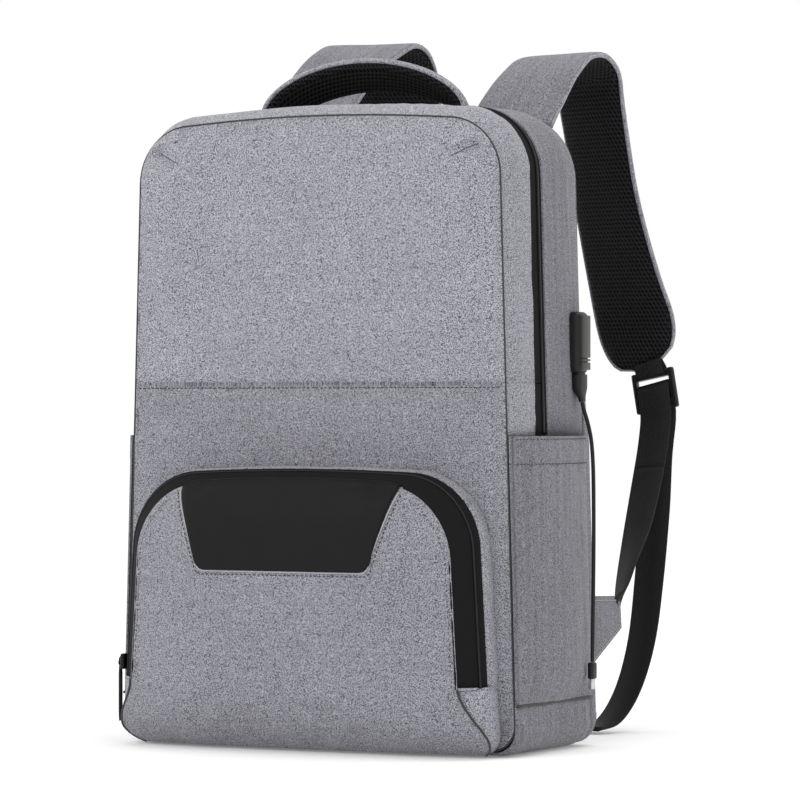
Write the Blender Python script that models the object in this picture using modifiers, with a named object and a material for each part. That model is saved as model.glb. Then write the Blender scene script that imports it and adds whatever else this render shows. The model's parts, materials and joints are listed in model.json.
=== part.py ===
"""Laptop backpack with a charging port, as separate sub-parts in one frame.

+Z is up, the front faces -Y, the straps are at +Y and the charging port is on the +X side.
The origin is on the flat underside of the base tub. Lengths are in metres.
"""
import math

import bmesh
import bpy
from mathutils import Matrix, Vector

# ---------------------------------------------------------------- driving dimensions
HEIGHT = 0.448              # underside to the top of the gusset
HALF_WIDTH_FLOOR = 0.156    # half the body's width at the floor
TAPER = 0.0283              # how much the half width narrows for each metre of height
FRONT = -0.066              # outer face of the front panel
BACK = 0.066                # outer face of the back panel
WALL = 0.003                # lined fabric wall
CLEAR = 0.0004              # gap between pieces that touch
TOP_RADIUS = 0.048
SEAM_RADIUS = 0.040         # the front panel's top corners
FLOOR_RADIUS = 0.018
CROWN = 0.004               # rise of the top edge at its middle

SEAM_INSET = 0.003          # the front panel is this much smaller than the body on each side
SEAM_DROP = 0.010           # and this much lower at the top
SEAM_LIFT = 0.004           # and this much higher at the floor
SEAM_Z = 0.253              # level seam in the front panel, the main flap's fold
TUB_Z = 0.034               # top edge of the base tub
HEM_Z = 0.217               # mouth of the side pockets and lower end of the main zipper
TUB_BACK = 0.052            # where the tub and the gusset meet the back panel

ZIP_Y = -0.014              # line of the main zipper's coil
TAPE = 0.0063               # width of one zipper tape
TAPE_THICK = 0.0010
TAPE_GAP = 0.0002           # from the coil's line to each tape
COIL_RADIUS = 0.0015

POCKET_TOP = 0.192
POCKET_HALF = 0.1405        # front pocket's half width at the floor
POCKET_TAPER = 0.058
POCKET_RADIUS = 0.054
POCKET_FRONT = -0.1055
POCKET_FOLD_Z = 0.047       # where the pocket's zipper ends and its flap folds
POCKET_COIL_Y = -0.0855
POCKET_LEAN = 0.0055        # how far the band leans in from the coil to the front edge
POCKET_TAPE_THICK = 0.0016
PATCH_TOP = (0.0845, 0.182)         # half width and height of the patch's upper edge
PATCH_FOOT = (0.0665, 0.125)

BACK_PAD_X = (0.022, 0.112)
BACK_PAD_Z = (0.060, 0.400)
BACK_PAD_THICK = 0.0085

STRAP_WIDTH = 0.066
STRAP_COVER = 0.0030
STRAP_PAD = 0.0070
ROOT_THICK = 0.006
WEB_WIDTH = 0.025
WEB_THICK = 0.0016
RIGHT = 1
LEFT = -1

SLIDER = (0.0032, 0.0085, 0.0110)   # thickness, width and length of a zipper slider
BAIL_REACH = 0.0056                 # from the coil's surface to the puller's axis
PULLER_WIDTH = 0.0042
PULLER_THICK = 0.0018

PORT_Z = (0.260, 0.303)
PORT_Y = (0.028, 0.045)
PORT_X = (0.1487, 0.1572)
PORT_WALL = 0.0015
PLUG_Z = (0.2404, 0.2592)
PLUG_X = (0.1496, 0.1570)
PLUG_HALF = 0.0070                  # half the plug's width
TONGUE_TOP = 0.2725
CABLE_DIAMETER = 0.0028
CONNECTOR = (0.0044, 0.0076, 0.0187)


# ---------------------------------------------------------------- scene and materials
def empty_scene():
    """Remove every object, mesh and curve that the file opened with."""
    for item in list(bpy.data.objects):
        bpy.data.objects.remove(item, do_unlink=True)


def make_collection(name):
    collection = bpy.data.collections.new(name)
    bpy.context.scene.collection.children.link(collection)
    return collection


empty_scene()
PARTS = make_collection("charging_backpack")
CUTTERS = make_collection("cutters")

GREY = (0.30, 0.30, 0.34)
DARK_GREY = (0.24, 0.24, 0.27)
BLACK = (0.012, 0.012, 0.013)
MESH_BLACK = (0.016, 0.016, 0.017)
GUNMETAL = (0.10, 0.095, 0.09)
STEEL = (0.55, 0.55, 0.56)


def give_material(item, colour, roughness, metallic=0.0):
    """Give one object its own Principled material."""
    material = bpy.data.materials.new(item.name + "_finish")
    material.use_nodes = True
    shader = material.node_tree.nodes["Principled BSDF"]
    shader.inputs["Base Color"].default_value = (*colour, 1.0)
    shader.inputs["Roughness"].default_value = roughness
    shader.inputs["Metallic"].default_value = metallic
    item.data.materials.append(material)


def fabric(item, colour=GREY):
    give_material(item, colour, 0.92)
    return item


def plastic(item, colour=BLACK, roughness=0.4):
    give_material(item, colour, roughness)
    return item


def metal(item, colour=STEEL, roughness=0.3):
    give_material(item, colour, roughness, 1.0)
    return item


# ---------------------------------------------------------------- shape helpers
def add_object(name, data):
    item = bpy.data.objects.new(name, data)
    PARTS.objects.link(item)
    return item


def object_from_bmesh(name, shape):
    mesh = bpy.data.meshes.new(name)
    shape.to_mesh(mesh)
    shape.free()
    return add_object(name, mesh)


def solidify(item, thickness, offset=-1.0):
    """Thicken an open surface; offset -1 grows against the face normals."""
    modifier = item.modifiers.new("thickness", "SOLIDIFY")
    modifier.thickness = thickness
    modifier.offset = offset
    modifier.use_even_offset = True
    return item


def bevel(item, width, segments=2, angle=math.radians(40)):
    modifier = item.modifiers.new("edges", "BEVEL")
    modifier.width = width
    modifier.segments = segments
    modifier.limit_method = "ANGLE"
    modifier.angle_limit = angle
    return item


def grid_surface(name, rows):
    """An open surface through rows of points; each row has the same number of points."""
    shape = bmesh.new()
    lines = [[shape.verts.new(point) for point in row] for row in rows]
    for low, high in zip(lines, lines[1:]):
        for i in range(len(low) - 1):
            shape.faces.new((low[i], low[i + 1], high[i + 1], high[i]))
    return object_from_bmesh(name, shape)


def plate(name, outline, y_front, thickness):
    """A flat plate across Y: an outline of (x, z) points, thickened towards +Y."""
    shape = bmesh.new()
    face = shape.faces.new([shape.verts.new((x, y_front, z)) for x, z in outline])
    face.normal_update()
    if face.normal.y > 0:
        face.normal_flip()
    return solidify(object_from_bmesh(name, shape), thickness)


def side_plate(name, outline, x_of_z, thickness, side):
    """A side wall from an outline of (y, z) points, leaning with the body and thickened inwards."""
    shape = bmesh.new()
    face = shape.faces.new([shape.verts.new((side * x_of_z(z), y, z)) for y, z in outline])
    face.normal_update()
    if face.normal.x * side < 0:
        face.normal_flip()
    return solidify(object_from_bmesh(name, shape), thickness)


def box(name, low, high, edge=0.0, segments=2):
    """A box between two corners, with its edges rounded where edge is given."""
    size = Vector(high) - Vector(low)
    shape = bmesh.new()
    bmesh.ops.create_cube(shape, size=1.0)
    bmesh.ops.scale(shape, vec=size, verts=shape.verts)
    bmesh.ops.translate(shape, vec=(Vector(high) + Vector(low)) / 2, verts=shape.verts)
    item = object_from_bmesh(name, shape)
    if edge:
        bevel(item, edge, segments)
    return item


def tube(name, points, radius, resolution=2):
    """A round tube with closed ends along a line of points."""
    curve = bpy.data.curves.new(name, "CURVE")
    curve.dimensions = "3D"
    curve.bevel_depth = radius
    curve.bevel_resolution = resolution
    curve.use_fill_caps = True
    spline = curve.splines.new("POLY")
    spline.points.add(len(points) - 1)
    for target, point in zip(spline.points, points):
        target.co = (*point, 1.0)
    return add_object(name, curve)


def smooth_line(points, spacing):
    """Points about spacing apart on a smooth curve through the given points."""
    points = [Vector(point) for point in points]
    padded = [2 * points[0] - points[1]] + points + [2 * points[-1] - points[-2]]
    line = [points[0]]
    for a, b, c, d in zip(padded, padded[1:], padded[2:], padded[3:]):
        steps = max(1, round((c - b).length / spacing))
        for i in range(1, steps + 1):
            t = i / steps
            line.append(0.5 * (2 * b + (c - a) * t + (2 * a - 5 * b + 4 * c - d) * t ** 2
                               + (3 * b - a - 3 * c + d) * t ** 3))
    return line


def ribbon(name, line, sides, widths, thickness, shift=0.0):
    """A flat strip along a line. sides holds each point's width direction; the strip is moved by
    shift along its face normal and thickened further that way, or against it if thickness is negative."""
    rows = []
    last = len(line) - 1
    for i, (point, side, width) in enumerate(zip(line, sides, widths)):
        along = (line[min(i + 1, last)] - line[max(i - 1, 0)]).normalized()
        across = (side - along * side.dot(along)).normalized()
        normal = along.cross(across)
        centre = point + normal * shift
        rows.append((centre - across * width / 2, centre + across * width / 2))
    item = grid_surface(name, rows)
    grows_with_normal = item.data.polygons[0].normal.dot(
        (line[1] - line[0]).cross(sides[0])) > 0
    wanted = thickness > 0
    return solidify(item, abs(thickness), 1.0 if grows_with_normal == wanted else -1.0)


def tool_box(name, low, high):
    """A hidden box for a Boolean modifier."""
    tool = box(name, low, high)
    PARTS.objects.unlink(tool)
    CUTTERS.objects.link(tool)
    tool.hide_render = True
    tool.display_type = "WIRE"
    return tool


def combine(item, tool, operation="DIFFERENCE"):
    """Take a tool's shape out of an object, or add it with UNION."""
    modifier = item.modifiers.new(tool.name, "BOOLEAN")
    modifier.operation = operation
    modifier.solver = "EXACT"
    modifier.object = tool
    return item


def cut(item, low, high):
    """Cut a box out of an object."""
    return combine(item, tool_box(item.name + "_cutter", low, high))


def ride_on(pivot, *items):
    """Parent pieces to the empty on their joint, without moving them."""
    for item in items:
        item.parent = pivot
        item.matrix_parent_inverse = Matrix.Translation(-pivot.location)


def pivot_at(name, place, parent=None):
    pivot = bpy.data.objects.new(name, None)
    pivot.location = place
    PARTS.objects.link(pivot)
    if parent:
        pivot.parent = parent
        pivot.matrix_parent_inverse = Matrix.Translation(-parent.location)
    return pivot


# ---------------------------------------------------------------- the body's outlines
def half_width(z, inset=0.0):
    return HALF_WIDTH_FLOOR - TAPER * z - inset


def arc(centre, radius, start, end, steps=6):
    """Points of an arc in the XZ plane, angles in degrees."""
    points = []
    for i in range(steps + 1):
        angle = math.radians(start + (end - start) * i / steps)
        points.append((centre[0] + radius * math.cos(angle), centre[1] + radius * math.sin(angle)))
    return points


def arch(z_start, inset=0.0, drop=0.0, radius=TOP_RADIUS, top=HEIGHT, half=half_width, crown=CROWN):
    """The outline over the top, from the left side at z_start to the right side at z_start."""
    edge_z = top - drop - crown
    corner_z = edge_z - radius
    corner_x = half(corner_z, inset) - radius
    right = [(half(z_start, inset), z_start)]
    right += arc((corner_x, corner_z), radius, 0, 90)
    middle = [(corner_x * t, edge_z + crown * (1 - t * t)) for t in (0.5, 0.0)]
    right_half = right + middle
    left_half = [(-x, z) for x, z in right_half[:-1]]
    return left_half + right_half[::-1]


def floor_line(z_start, inset=0.0, lift=0.0):
    """The outline under the floor, from the right side at z_start to the left side at z_start."""
    corner_x = half_width(lift, inset) - FLOOR_RADIUS
    right = [(half_width(z_start, inset), z_start)]
    right += arc((corner_x, lift + FLOOR_RADIUS), FLOOR_RADIUS, 0, -90)
    return right + [(-x, z) for x, z in right[::-1]]


def at_depth(outline, y):
    return [(x, y, z) for x, z in outline]


# ---------------------------------------------------------------- body shell
def body_shell():
    """The fixed walls: base tub, side walls, lower front, rear gusset and back."""
    tub_front = FRONT + WALL + CLEAR
    tub_line = floor_line(TUB_Z)
    tub = grid_surface("base_tub", [at_depth(tub_line, tub_front), at_depth(tub_line, TUB_BACK)])
    fabric(solidify(tub, WALL), DARK_GREY)
    fabric(box("base_board", (-0.118, -0.056, WALL + CLEAR), (0.118, 0.034, 0.0052)), (0.05, 0.05, 0.05))

    wall_low = TUB_Z + CLEAR
    behind_zip = ZIP_Y + TAPE_GAP
    wall_outline = [(tub_front, wall_low), (TUB_BACK, wall_low), (TUB_BACK, HEM_Z - CLEAR),
                    (behind_zip, HEM_Z - CLEAR), (behind_zip, SEAM_Z - CLEAR), (tub_front, SEAM_Z - CLEAR)]
    for side, word in ((LEFT, "left"), (RIGHT, "right")):
        fabric(side_plate("side_wall_" + word, wall_outline, half_width, WALL, side), DARK_GREY)

    lower_outline = floor_line(SEAM_Z - CLEAR, SEAM_INSET, SEAM_LIFT)
    fabric(plate("front_panel_lower", lower_outline, FRONT, WALL))

    rows = [at_depth(arch(HEM_Z), ZIP_Y + TAPE_GAP + TAPE + CLEAR),
            at_depth(arch(HEM_Z), TUB_BACK - 0.022),
            at_depth(arch(HEM_Z, 0.001, 0.002), TUB_BACK)]
    fabric(solidify(grid_surface("rear_gusset", rows), WALL), DARK_GREY)

    back_inset = 0.0035
    back_outline = arch(0.030, back_inset, 0.004) + floor_line(0.030, back_inset, 0.002)[1:-1]
    back = plate("back_panel", back_outline, TUB_BACK + CLEAR, BACK - TUB_BACK - CLEAR)
    fabric(bevel(back, 0.006, 2, math.radians(60)))
    for side, word in ((LEFT, "left"), (RIGHT, "right")):
        x_low, x_high = sorted((side * BACK_PAD_X[0], side * BACK_PAD_X[1]))
        pad = box("back_pad_" + word, (x_low, BACK + CLEAR, BACK_PAD_Z[0]),
                  (x_high, BACK + BACK_PAD_THICK, BACK_PAD_Z[1]), 0.006)
        fabric(pad, MESH_BLACK)
    fabric(box("laptop_divider", (-0.126, 0.036, 0.0056), (0.126, 0.040, 0.300), 0.0015, 1), BLACK)


def piping():
    """The round edging of the front panel, in the flap's half and the fixed half."""
    reach = 0.0022
    depth = FRONT + 0.0014
    radius = 0.0016
    inset = SEAM_INSET - reach
    upper = at_depth(arch(SEAM_Z + 0.0008, inset, SEAM_DROP - reach, SEAM_RADIUS + reach), depth)
    lower = at_depth(floor_line(SEAM_Z - 0.0008, inset, SEAM_LIFT - reach), depth)
    return (fabric(tube("piping_upper", upper, radius, 1)),
            fabric(tube("piping_lower", lower, radius, 1)))


def main_flap():
    """The upper front and its gusset, which fold forward at the level seam."""
    low = SEAM_Z + CLEAR
    outline = arch(low, SEAM_INSET, SEAM_DROP, SEAM_RADIUS)
    panel = fabric(plate("front_panel_upper", outline, FRONT, WALL))
    rows = [at_depth(arch(low, SEAM_INSET, SEAM_DROP, SEAM_RADIUS), FRONT + WALL + CLEAR),
            at_depth(arch(low, 0.0005, 0.003), -0.050),
            at_depth(arch(low), ZIP_Y - TAPE_GAP - TAPE - CLEAR)]
    gusset = fabric(solidify(grid_surface("front_gusset", rows), WALL))
    return panel, gusset


def main_zipper():
    """Two tapes and the coil between them; the front tape opens with the flap."""
    sink = TAPE_THICK
    rear_edges = (ZIP_Y + TAPE_GAP, ZIP_Y + TAPE_GAP + TAPE)
    rear_rows = [at_depth(arch(HEM_Z, sink, sink), y) for y in rear_edges]
    rear = fabric(solidify(grid_surface("main_zipper_tape_rear", rear_rows), TAPE_THICK, 1.0), BLACK)
    front_edges = (ZIP_Y - TAPE_GAP - TAPE, ZIP_Y - TAPE_GAP)
    front_rows = [at_depth(arch(SEAM_Z + CLEAR, sink, sink), y) for y in front_edges]
    front = fabric(solidify(grid_surface("main_zipper_tape_front", front_rows), TAPE_THICK, 1.0), BLACK)
    lift = COIL_RADIUS + CLEAR
    coil_line = at_depth(arch(HEM_Z + 0.002, -lift, -lift), ZIP_Y)
    plastic(tube("main_zipper_coil", coil_line, COIL_RADIUS, 1))
    return rear, front


def side_pockets():
    """A patch pocket on each side wall, open at the top and standing off from the wall."""
    thickness = 0.002
    depths = ((-0.0615, 0.0), (-0.050, 0.65), (-0.025, 1.0), (0.010, 1.0), (0.026, 0.5), (0.0515, 0.0))
    stand_off = 0.0105
    closed = thickness + CLEAR
    levels = ((TUB_Z + 0.002, 0.0), (TUB_Z + 0.012, 0.8), (0.120, 1.0), (HEM_Z, 1.0))
    for side, word in ((LEFT, "left"), (RIGHT, "right")):
        rows = []
        for z, fullness in levels:
            wall_x = half_width(z) + closed
            rows.append([(side * (wall_x + stand_off * fullness * bulge), y, z) for y, bulge in depths])
        pocket = grid_surface("side_pocket_" + word, rows)
        fabric(solidify(pocket, thickness, 1.0 if side == LEFT else -1.0), DARK_GREY)


# ---------------------------------------------------------------- front pocket
def pocket_half(z, inset=0.0):
    return POCKET_HALF - POCKET_TAPER * z - inset


def pocket_arch(z_start, inset=0.0):
    return arch(z_start, inset, inset, POCKET_RADIUS, POCKET_TOP, pocket_half, 0.002)


def front_pocket():
    """The stuffed front pocket: a fixed tray and rear tape, and the flap that folds down."""
    rear_edge = FRONT - CLEAR
    tape_low = POCKET_FOLD_Z + CLEAR
    rear_rows = [at_depth(pocket_arch(tape_low), y) for y in (POCKET_COIL_Y + TAPE_GAP, rear_edge)]
    fabric(solidify(grid_surface("pocket_tape_rear", rear_rows), POCKET_TAPE_THICK), BLACK)
    front_edge = POCKET_FRONT + WALL + CLEAR
    front_rows = [at_depth(pocket_arch(tape_low, POCKET_LEAN), front_edge),
                  at_depth(pocket_arch(tape_low), POCKET_COIL_Y - 4 * TAPE_GAP)]
    tape = fabric(solidify(grid_surface("pocket_tape_front", front_rows), POCKET_TAPE_THICK), BLACK)
    lift = COIL_RADIUS + CLEAR
    plastic(tube("pocket_zipper_coil", at_depth(pocket_arch(tape_low, -lift), POCKET_COIL_Y), COIL_RADIUS, 1))

    panel = fabric(plate("pocket_panel", pocket_arch(tape_low, POCKET_LEAN), POCKET_FRONT, WALL))
    patch_outline = [(-PATCH_TOP[0], PATCH_TOP[1]), (PATCH_TOP[0], PATCH_TOP[1]),
                     (PATCH_FOOT[0] + 0.002, PATCH_FOOT[1] + 0.003), (PATCH_FOOT[0], PATCH_FOOT[1]),
                     (-PATCH_FOOT[0], PATCH_FOOT[1]), (-PATCH_FOOT[0] - 0.002, PATCH_FOOT[1] + 0.003)]
    patch = fabric(plate("pocket_patch", patch_outline, POCKET_FRONT - CLEAR - 0.0008, 0.0008), BLACK)

    tray_half = pocket_half(POCKET_FOLD_Z)
    profile = [(rear_edge, POCKET_FOLD_Z), (POCKET_FRONT, POCKET_FOLD_Z), (POCKET_FRONT - 0.0005, 0.034),
               (POCKET_FRONT + 0.003, 0.020), (POCKET_FRONT + 0.011, 0.008), (POCKET_FRONT + 0.022, 0.001),
               (rear_edge, 0.0004)]
    shape = bmesh.new()
    face = shape.faces.new([shape.verts.new((tray_half, y, z)) for y, z in profile])
    face.normal_update()
    if face.normal.x < 0:
        face.normal_flip()
    tray = solidify(object_from_bmesh("pocket_tray", shape), 2 * tray_half)
    inner_low = (-tray_half + WALL, POCKET_FRONT + 0.015, 0.008)
    inner_high = (tray_half - WALL, rear_edge - WALL / 2, POCKET_FOLD_Z + 0.01)
    fabric(cut(tray, inner_low, inner_high))
    return tape, panel, patch


# ---------------------------------------------------------------- sliders and pullers
def slider_and_puller(prefix, place, outward, puller_length):
    """A zipper slider with a bail, and the puller that hangs from it. place is on the coil's line."""
    place = Vector(place)
    outward = Vector(outward)
    up = Vector((0, 0, 1))
    turn = Matrix((outward, up.cross(outward), up)).transposed()

    shape = bmesh.new()
    bmesh.ops.create_cube(shape, size=1.0)
    bmesh.ops.scale(shape, vec=SLIDER, verts=shape.verts)
    bmesh.ops.rotate(shape, matrix=turn, verts=shape.verts)
    centre = place + outward * (COIL_RADIUS + CLEAR + SLIDER[0] / 2)
    bmesh.ops.translate(shape, vec=centre, verts=shape.verts)
    body = metal(bevel(object_from_bmesh(prefix + "_slider", shape), 0.001), (0.03, 0.03, 0.03), 0.35)

    hang = place + outward * (COIL_RADIUS + BAIL_REACH)
    shape = bmesh.new()
    bmesh.ops.create_cube(shape, size=1.0)
    bmesh.ops.scale(shape, vec=(PULLER_THICK, PULLER_WIDTH, puller_length), verts=shape.verts)
    bmesh.ops.rotate(shape, matrix=turn, verts=shape.verts)
    bmesh.ops.translate(shape, vec=hang - Vector((0, 0, puller_length / 2 - 0.002)), verts=shape.verts)
    puller = plastic(bevel(object_from_bmesh(prefix + "_puller", shape), 0.0006, 1))
    return body, puller, hang


def zipper_sliders():
    """The pocket's slider at its left end, and the main slider low on the left side."""
    z = POCKET_FOLD_Z + 0.011
    place = (-pocket_half(z) - COIL_RADIUS - CLEAR, POCKET_COIL_Y, z)
    slider, puller, hang = slider_and_puller("pocket", place, (-1, 0, 0), 0.044)
    slide = pivot_at("pocket_slide_axis", Vector(place))
    swing = pivot_at("pocket_puller_axis", hang, slide)
    ride_on(slide, slider)
    ride_on(swing, puller)

    z = SEAM_Z + 0.014
    place = (-half_width(z) - COIL_RADIUS - CLEAR, ZIP_Y, z)
    slider, puller, hang = slider_and_puller("main", place, (-1, 0, 0), 0.034)
    slide = pivot_at("main_slide_axis", Vector(place))
    swing = pivot_at("main_puller_axis", hang, slide)
    ride_on(slide, slider)
    ride_on(swing, puller)


# ---------------------------------------------------------------- carry handle
HANDLE_FOOT = (0.084, 0.014, 0.4585)
HANDLE_RISE = 0.0175
HANDLE_TILT = math.radians(37)


def carry_handle():
    """A padded arch over the top, its front edge higher than its rear edge."""
    foot_x, foot_y, foot_z = HANDLE_FOOT
    line = []
    steps = 16
    for i in range(steps + 1):
        angle = math.pi * i / steps
        rise = HANDLE_RISE * math.sin(angle) ** 1.3
        line.append(Vector((-foot_x * math.cos(angle), foot_y, foot_z + rise)))
    side = Vector((0, -math.cos(HANDLE_TILT), math.sin(HANDLE_TILT)))
    widths = [0.012 + 0.018 * math.sin(math.pi * i / steps) ** 0.5 for i in range(steps + 1)]
    sides = [side] * len(line)
    cover = fabric(ribbon("handle_cover", line, sides, widths, -0.0035, -CLEAR))
    pad = fabric(ribbon("handle_pad", line, sides, widths, 0.0050), MESH_BLACK)
    ride_on(pivot_at("handle_axis", HANDLE_FOOT), cover, pad)


# ---------------------------------------------------------------- shoulder straps
def mirrored(points, side):
    return [Vector((side * x, y, z)) for x, y, z in points]


def strap_route(side):
    """Centre line of the padded strap, from its root to its lower end. The left one stands higher."""
    if side == RIGHT:
        over = [(0.086, 0.113, 0.477), (0.086, 0.138, 0.489), (0.087, 0.165, 0.490), (0.087, 0.189, 0.476),
                (0.088, 0.203, 0.440), (0.091, 0.213, 0.395)]
    else:
        over = [(0.086, 0.118, 0.480), (0.086, 0.150, 0.498), (0.087, 0.185, 0.507), (0.087, 0.213, 0.492),
                (0.088, 0.226, 0.450), (0.091, 0.229, 0.398)]
    down = [(0.096, 0.225, 0.350), (0.103, 0.232, 0.312), (0.111, 0.232, 0.286), (0.119, 0.228, 0.268)]
    return mirrored([(0.085, 0.0965, 0.464)] + over + down, side)


WEB_ROUTE = [(0.1285, 0.2215, 0.228), (0.1295, 0.212, 0.205), (0.131, 0.197, 0.178), (0.135, 0.172, 0.146),
             (0.140, 0.143, 0.118), (0.1455, 0.1225, 0.098)]
TAIL_ROUTE = [(0.1285, 0.2275, 0.2275), (0.127, 0.226, 0.200), (0.127, 0.2215, 0.160), (0.1265, 0.213, 0.110),
              (0.124, 0.205, 0.065), (0.119, 0.192, 0.030), (0.112, 0.174, 0.008), (0.104, 0.152, 0.0025)]
TAB_X = 0.1460
TAB_THICK = 0.0025
TAB_OUTLINE = [(BACK + 0.0006, 0.050), (BACK + 0.0006, 0.104), (0.1165, 0.1010), (0.1195, 0.0790)]
LOCK_TOP = (0.1225, 0.2275, 0.2635)
LOCK_FOOT = (0.1285, 0.2250, 0.2340)
LOCK_WIDTH = 0.034
LOCK_THICK = 0.0045
LOCK_BAR = 0.004            # width of each side bar
LOCK_SLOT = 0.0055
LOCK_SLOT_PLACES = (-0.0065, 0.0050)
ROOT_ROUTE = [(0.085, 0.0670, 0.4340), (0.085, 0.078, 0.447), (0.085, 0.0920, 0.4605)]


def strap_sides(line, side):
    """The strap's width direction: along X at the root, turned about Z on the way down."""
    sides = []
    last = len(line) - 1
    for i in range(len(line)):
        turn = -0.38 * math.sin(math.pi * i / last)
        sides.append(Vector((math.cos(turn), side * math.sin(turn), 0.0)))
    return sides


def twisted_sides(count, start, end):
    """Width directions that turn evenly from start to end."""
    return [(Vector(start) * (1 - i / (count - 1)) + Vector(end) * (i / (count - 1))).normalized()
            for i in range(count)]


def adjuster(name, side):
    """Ladder-lock: a frame with three bars, hung on the strap's lower end."""
    top, foot = mirrored([LOCK_TOP, LOCK_FOOT], side)
    down = (foot - top).normalized()
    across = (Vector((1, 0, 0)) - down * down.x).normalized()
    normal = down.cross(across)
    length = (foot - top).length
    turn = Matrix((across, normal, down)).transposed()
    shape = bmesh.new()
    bmesh.ops.create_cube(shape, size=1.0)
    bmesh.ops.scale(shape, vec=(LOCK_WIDTH, LOCK_THICK, length), verts=shape.verts)
    item = bevel(object_from_bmesh(name, shape), 0.0015)
    place = Matrix.Translation((top + foot) / 2) @ turn.to_4x4()
    half_slot = LOCK_WIDTH / 2 - LOCK_BAR
    for i, shift in enumerate(LOCK_SLOT_PLACES):
        slot = tool_box("%s_slot_%d" % (name, i), (-half_slot, -LOCK_THICK, shift - LOCK_SLOT / 2),
                        (half_slot, LOCK_THICK, shift + LOCK_SLOT / 2))
        slot.matrix_world = place
        combine(item, slot)
    item.matrix_world = place
    return plastic(item), top, across


def shoulder_strap(side, word):
    """One strap loop: root, padded strap, ladder-lock, webbing, free tail and anchor tab."""
    root = smooth_line(mirrored(ROOT_ROUTE, side), 0.012)
    across = [Vector((1, 0, 0))] * len(root)
    widths = [STRAP_WIDTH - 0.020 * i / (len(root) - 1) for i in range(len(root))]
    fabric(ribbon("strap_root_" + word, root, across, widths, ROOT_THICK))

    line = smooth_line(strap_route(side), 0.012)
    sides = strap_sides(line, side)
    last = len(line) - 1
    widths = []
    for i in range(last + 1):
        start = min(1.0, 0.64 + 0.18 * i)
        end = min(1.0, 0.50 + 0.14 * (last - i))
        widths.append(STRAP_WIDTH * min(start, end))
    cover = fabric(ribbon("strap_cover_" + word, line, sides, widths, -STRAP_COVER, -CLEAR))
    pad = fabric(ribbon("strap_pad_" + word, line, sides, widths, STRAP_PAD), MESH_BLACK)

    lock, top, lock_across = adjuster("adjuster_" + word, side)
    web = smooth_line(mirrored(WEB_ROUTE, side), 0.015)
    web_sides = twisted_sides(len(web), lock_across, (0.0, 0.35 * side, 0.94 * side))
    webbing = fabric(ribbon("webbing_" + word, web, web_sides, [WEB_WIDTH] * len(web), WEB_THICK), BLACK)
    tail_line = smooth_line(mirrored(TAIL_ROUTE, side), 0.015)
    tail_sides = twisted_sides(len(tail_line), lock_across, (0.90, -0.40 * side, 0.0))
    tail = ribbon("tail_" + word, tail_line, tail_sides, [WEB_WIDTH] * len(tail_line), WEB_THICK)
    fabric(tail, BLACK)

    shape = bmesh.new()
    face = shape.faces.new([shape.verts.new((side * TAB_X, y, z)) for y, z in TAB_OUTLINE])
    face.normal_update()
    if face.normal.x * side < 0:
        face.normal_flip()
    fabric(solidify(object_from_bmesh("anchor_tab_" + word, shape), TAB_THICK, 0.0))

    loop_axis = pivot_at("strap_axis_" + word, mirrored([(0.085, 0.094, 0.462)], side)[0])
    lock_axis = pivot_at("adjuster_axis_" + word, top, loop_axis)
    ride_on(loop_axis, cover, pad, webbing, tail)
    lock_place = lock.matrix_world.copy()
    lock.parent = lock_axis
    lock.matrix_parent_inverse = Matrix.Translation(-Vector(top))
    lock.matrix_basis = lock_place


# ---------------------------------------------------------------- charging port, cable and power bank
CABLE_ROUTE = [(0.1552, 0.0365, 0.2400), (0.1562, 0.0365, 0.2355), (0.1582, 0.0364, 0.2300),
               (0.1606, 0.0362, 0.2220), (0.1626, 0.0360, 0.2120), (0.1640, 0.0356, 0.1950),
               (0.1647, 0.0350, 0.1700), (0.1650, 0.0344, 0.1400), (0.1650, 0.0338, 0.1120),
               (0.1648, 0.0334, 0.0850), (0.1646, 0.0330, 0.0600)]


def charging_port():
    """Housing on the right gusset, its face plate and the socket inside the bag."""
    housing = box("usb_housing", (PORT_X[0], PORT_Y[0], PORT_Z[0]), (PORT_X[1], PORT_Y[1], PORT_Z[1]), 0.0012)
    cut(housing, (PORT_X[0] + PORT_WALL, PORT_Y[0] + PORT_WALL, PORT_Z[0] - 0.01),
        (PORT_X[1] - PORT_WALL, PORT_Y[1] - PORT_WALL, TONGUE_TOP + 0.0025))
    plastic(housing)
    plate_x = PORT_X[1] + CLEAR
    plastic(box("usb_face_plate", (plate_x, PORT_Y[0] + 0.002, PORT_Z[0] + 0.0025),
                (plate_x + 0.0012, PORT_Y[1] - 0.002, PORT_Z[1] - 0.0025), 0.0005, 1), GUNMETAL, 0.35)
    plastic(box("usb_socket", (0.1290, 0.0300, 0.2640), (0.1438, 0.0430, 0.2990), 0.0012, 1))


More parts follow.
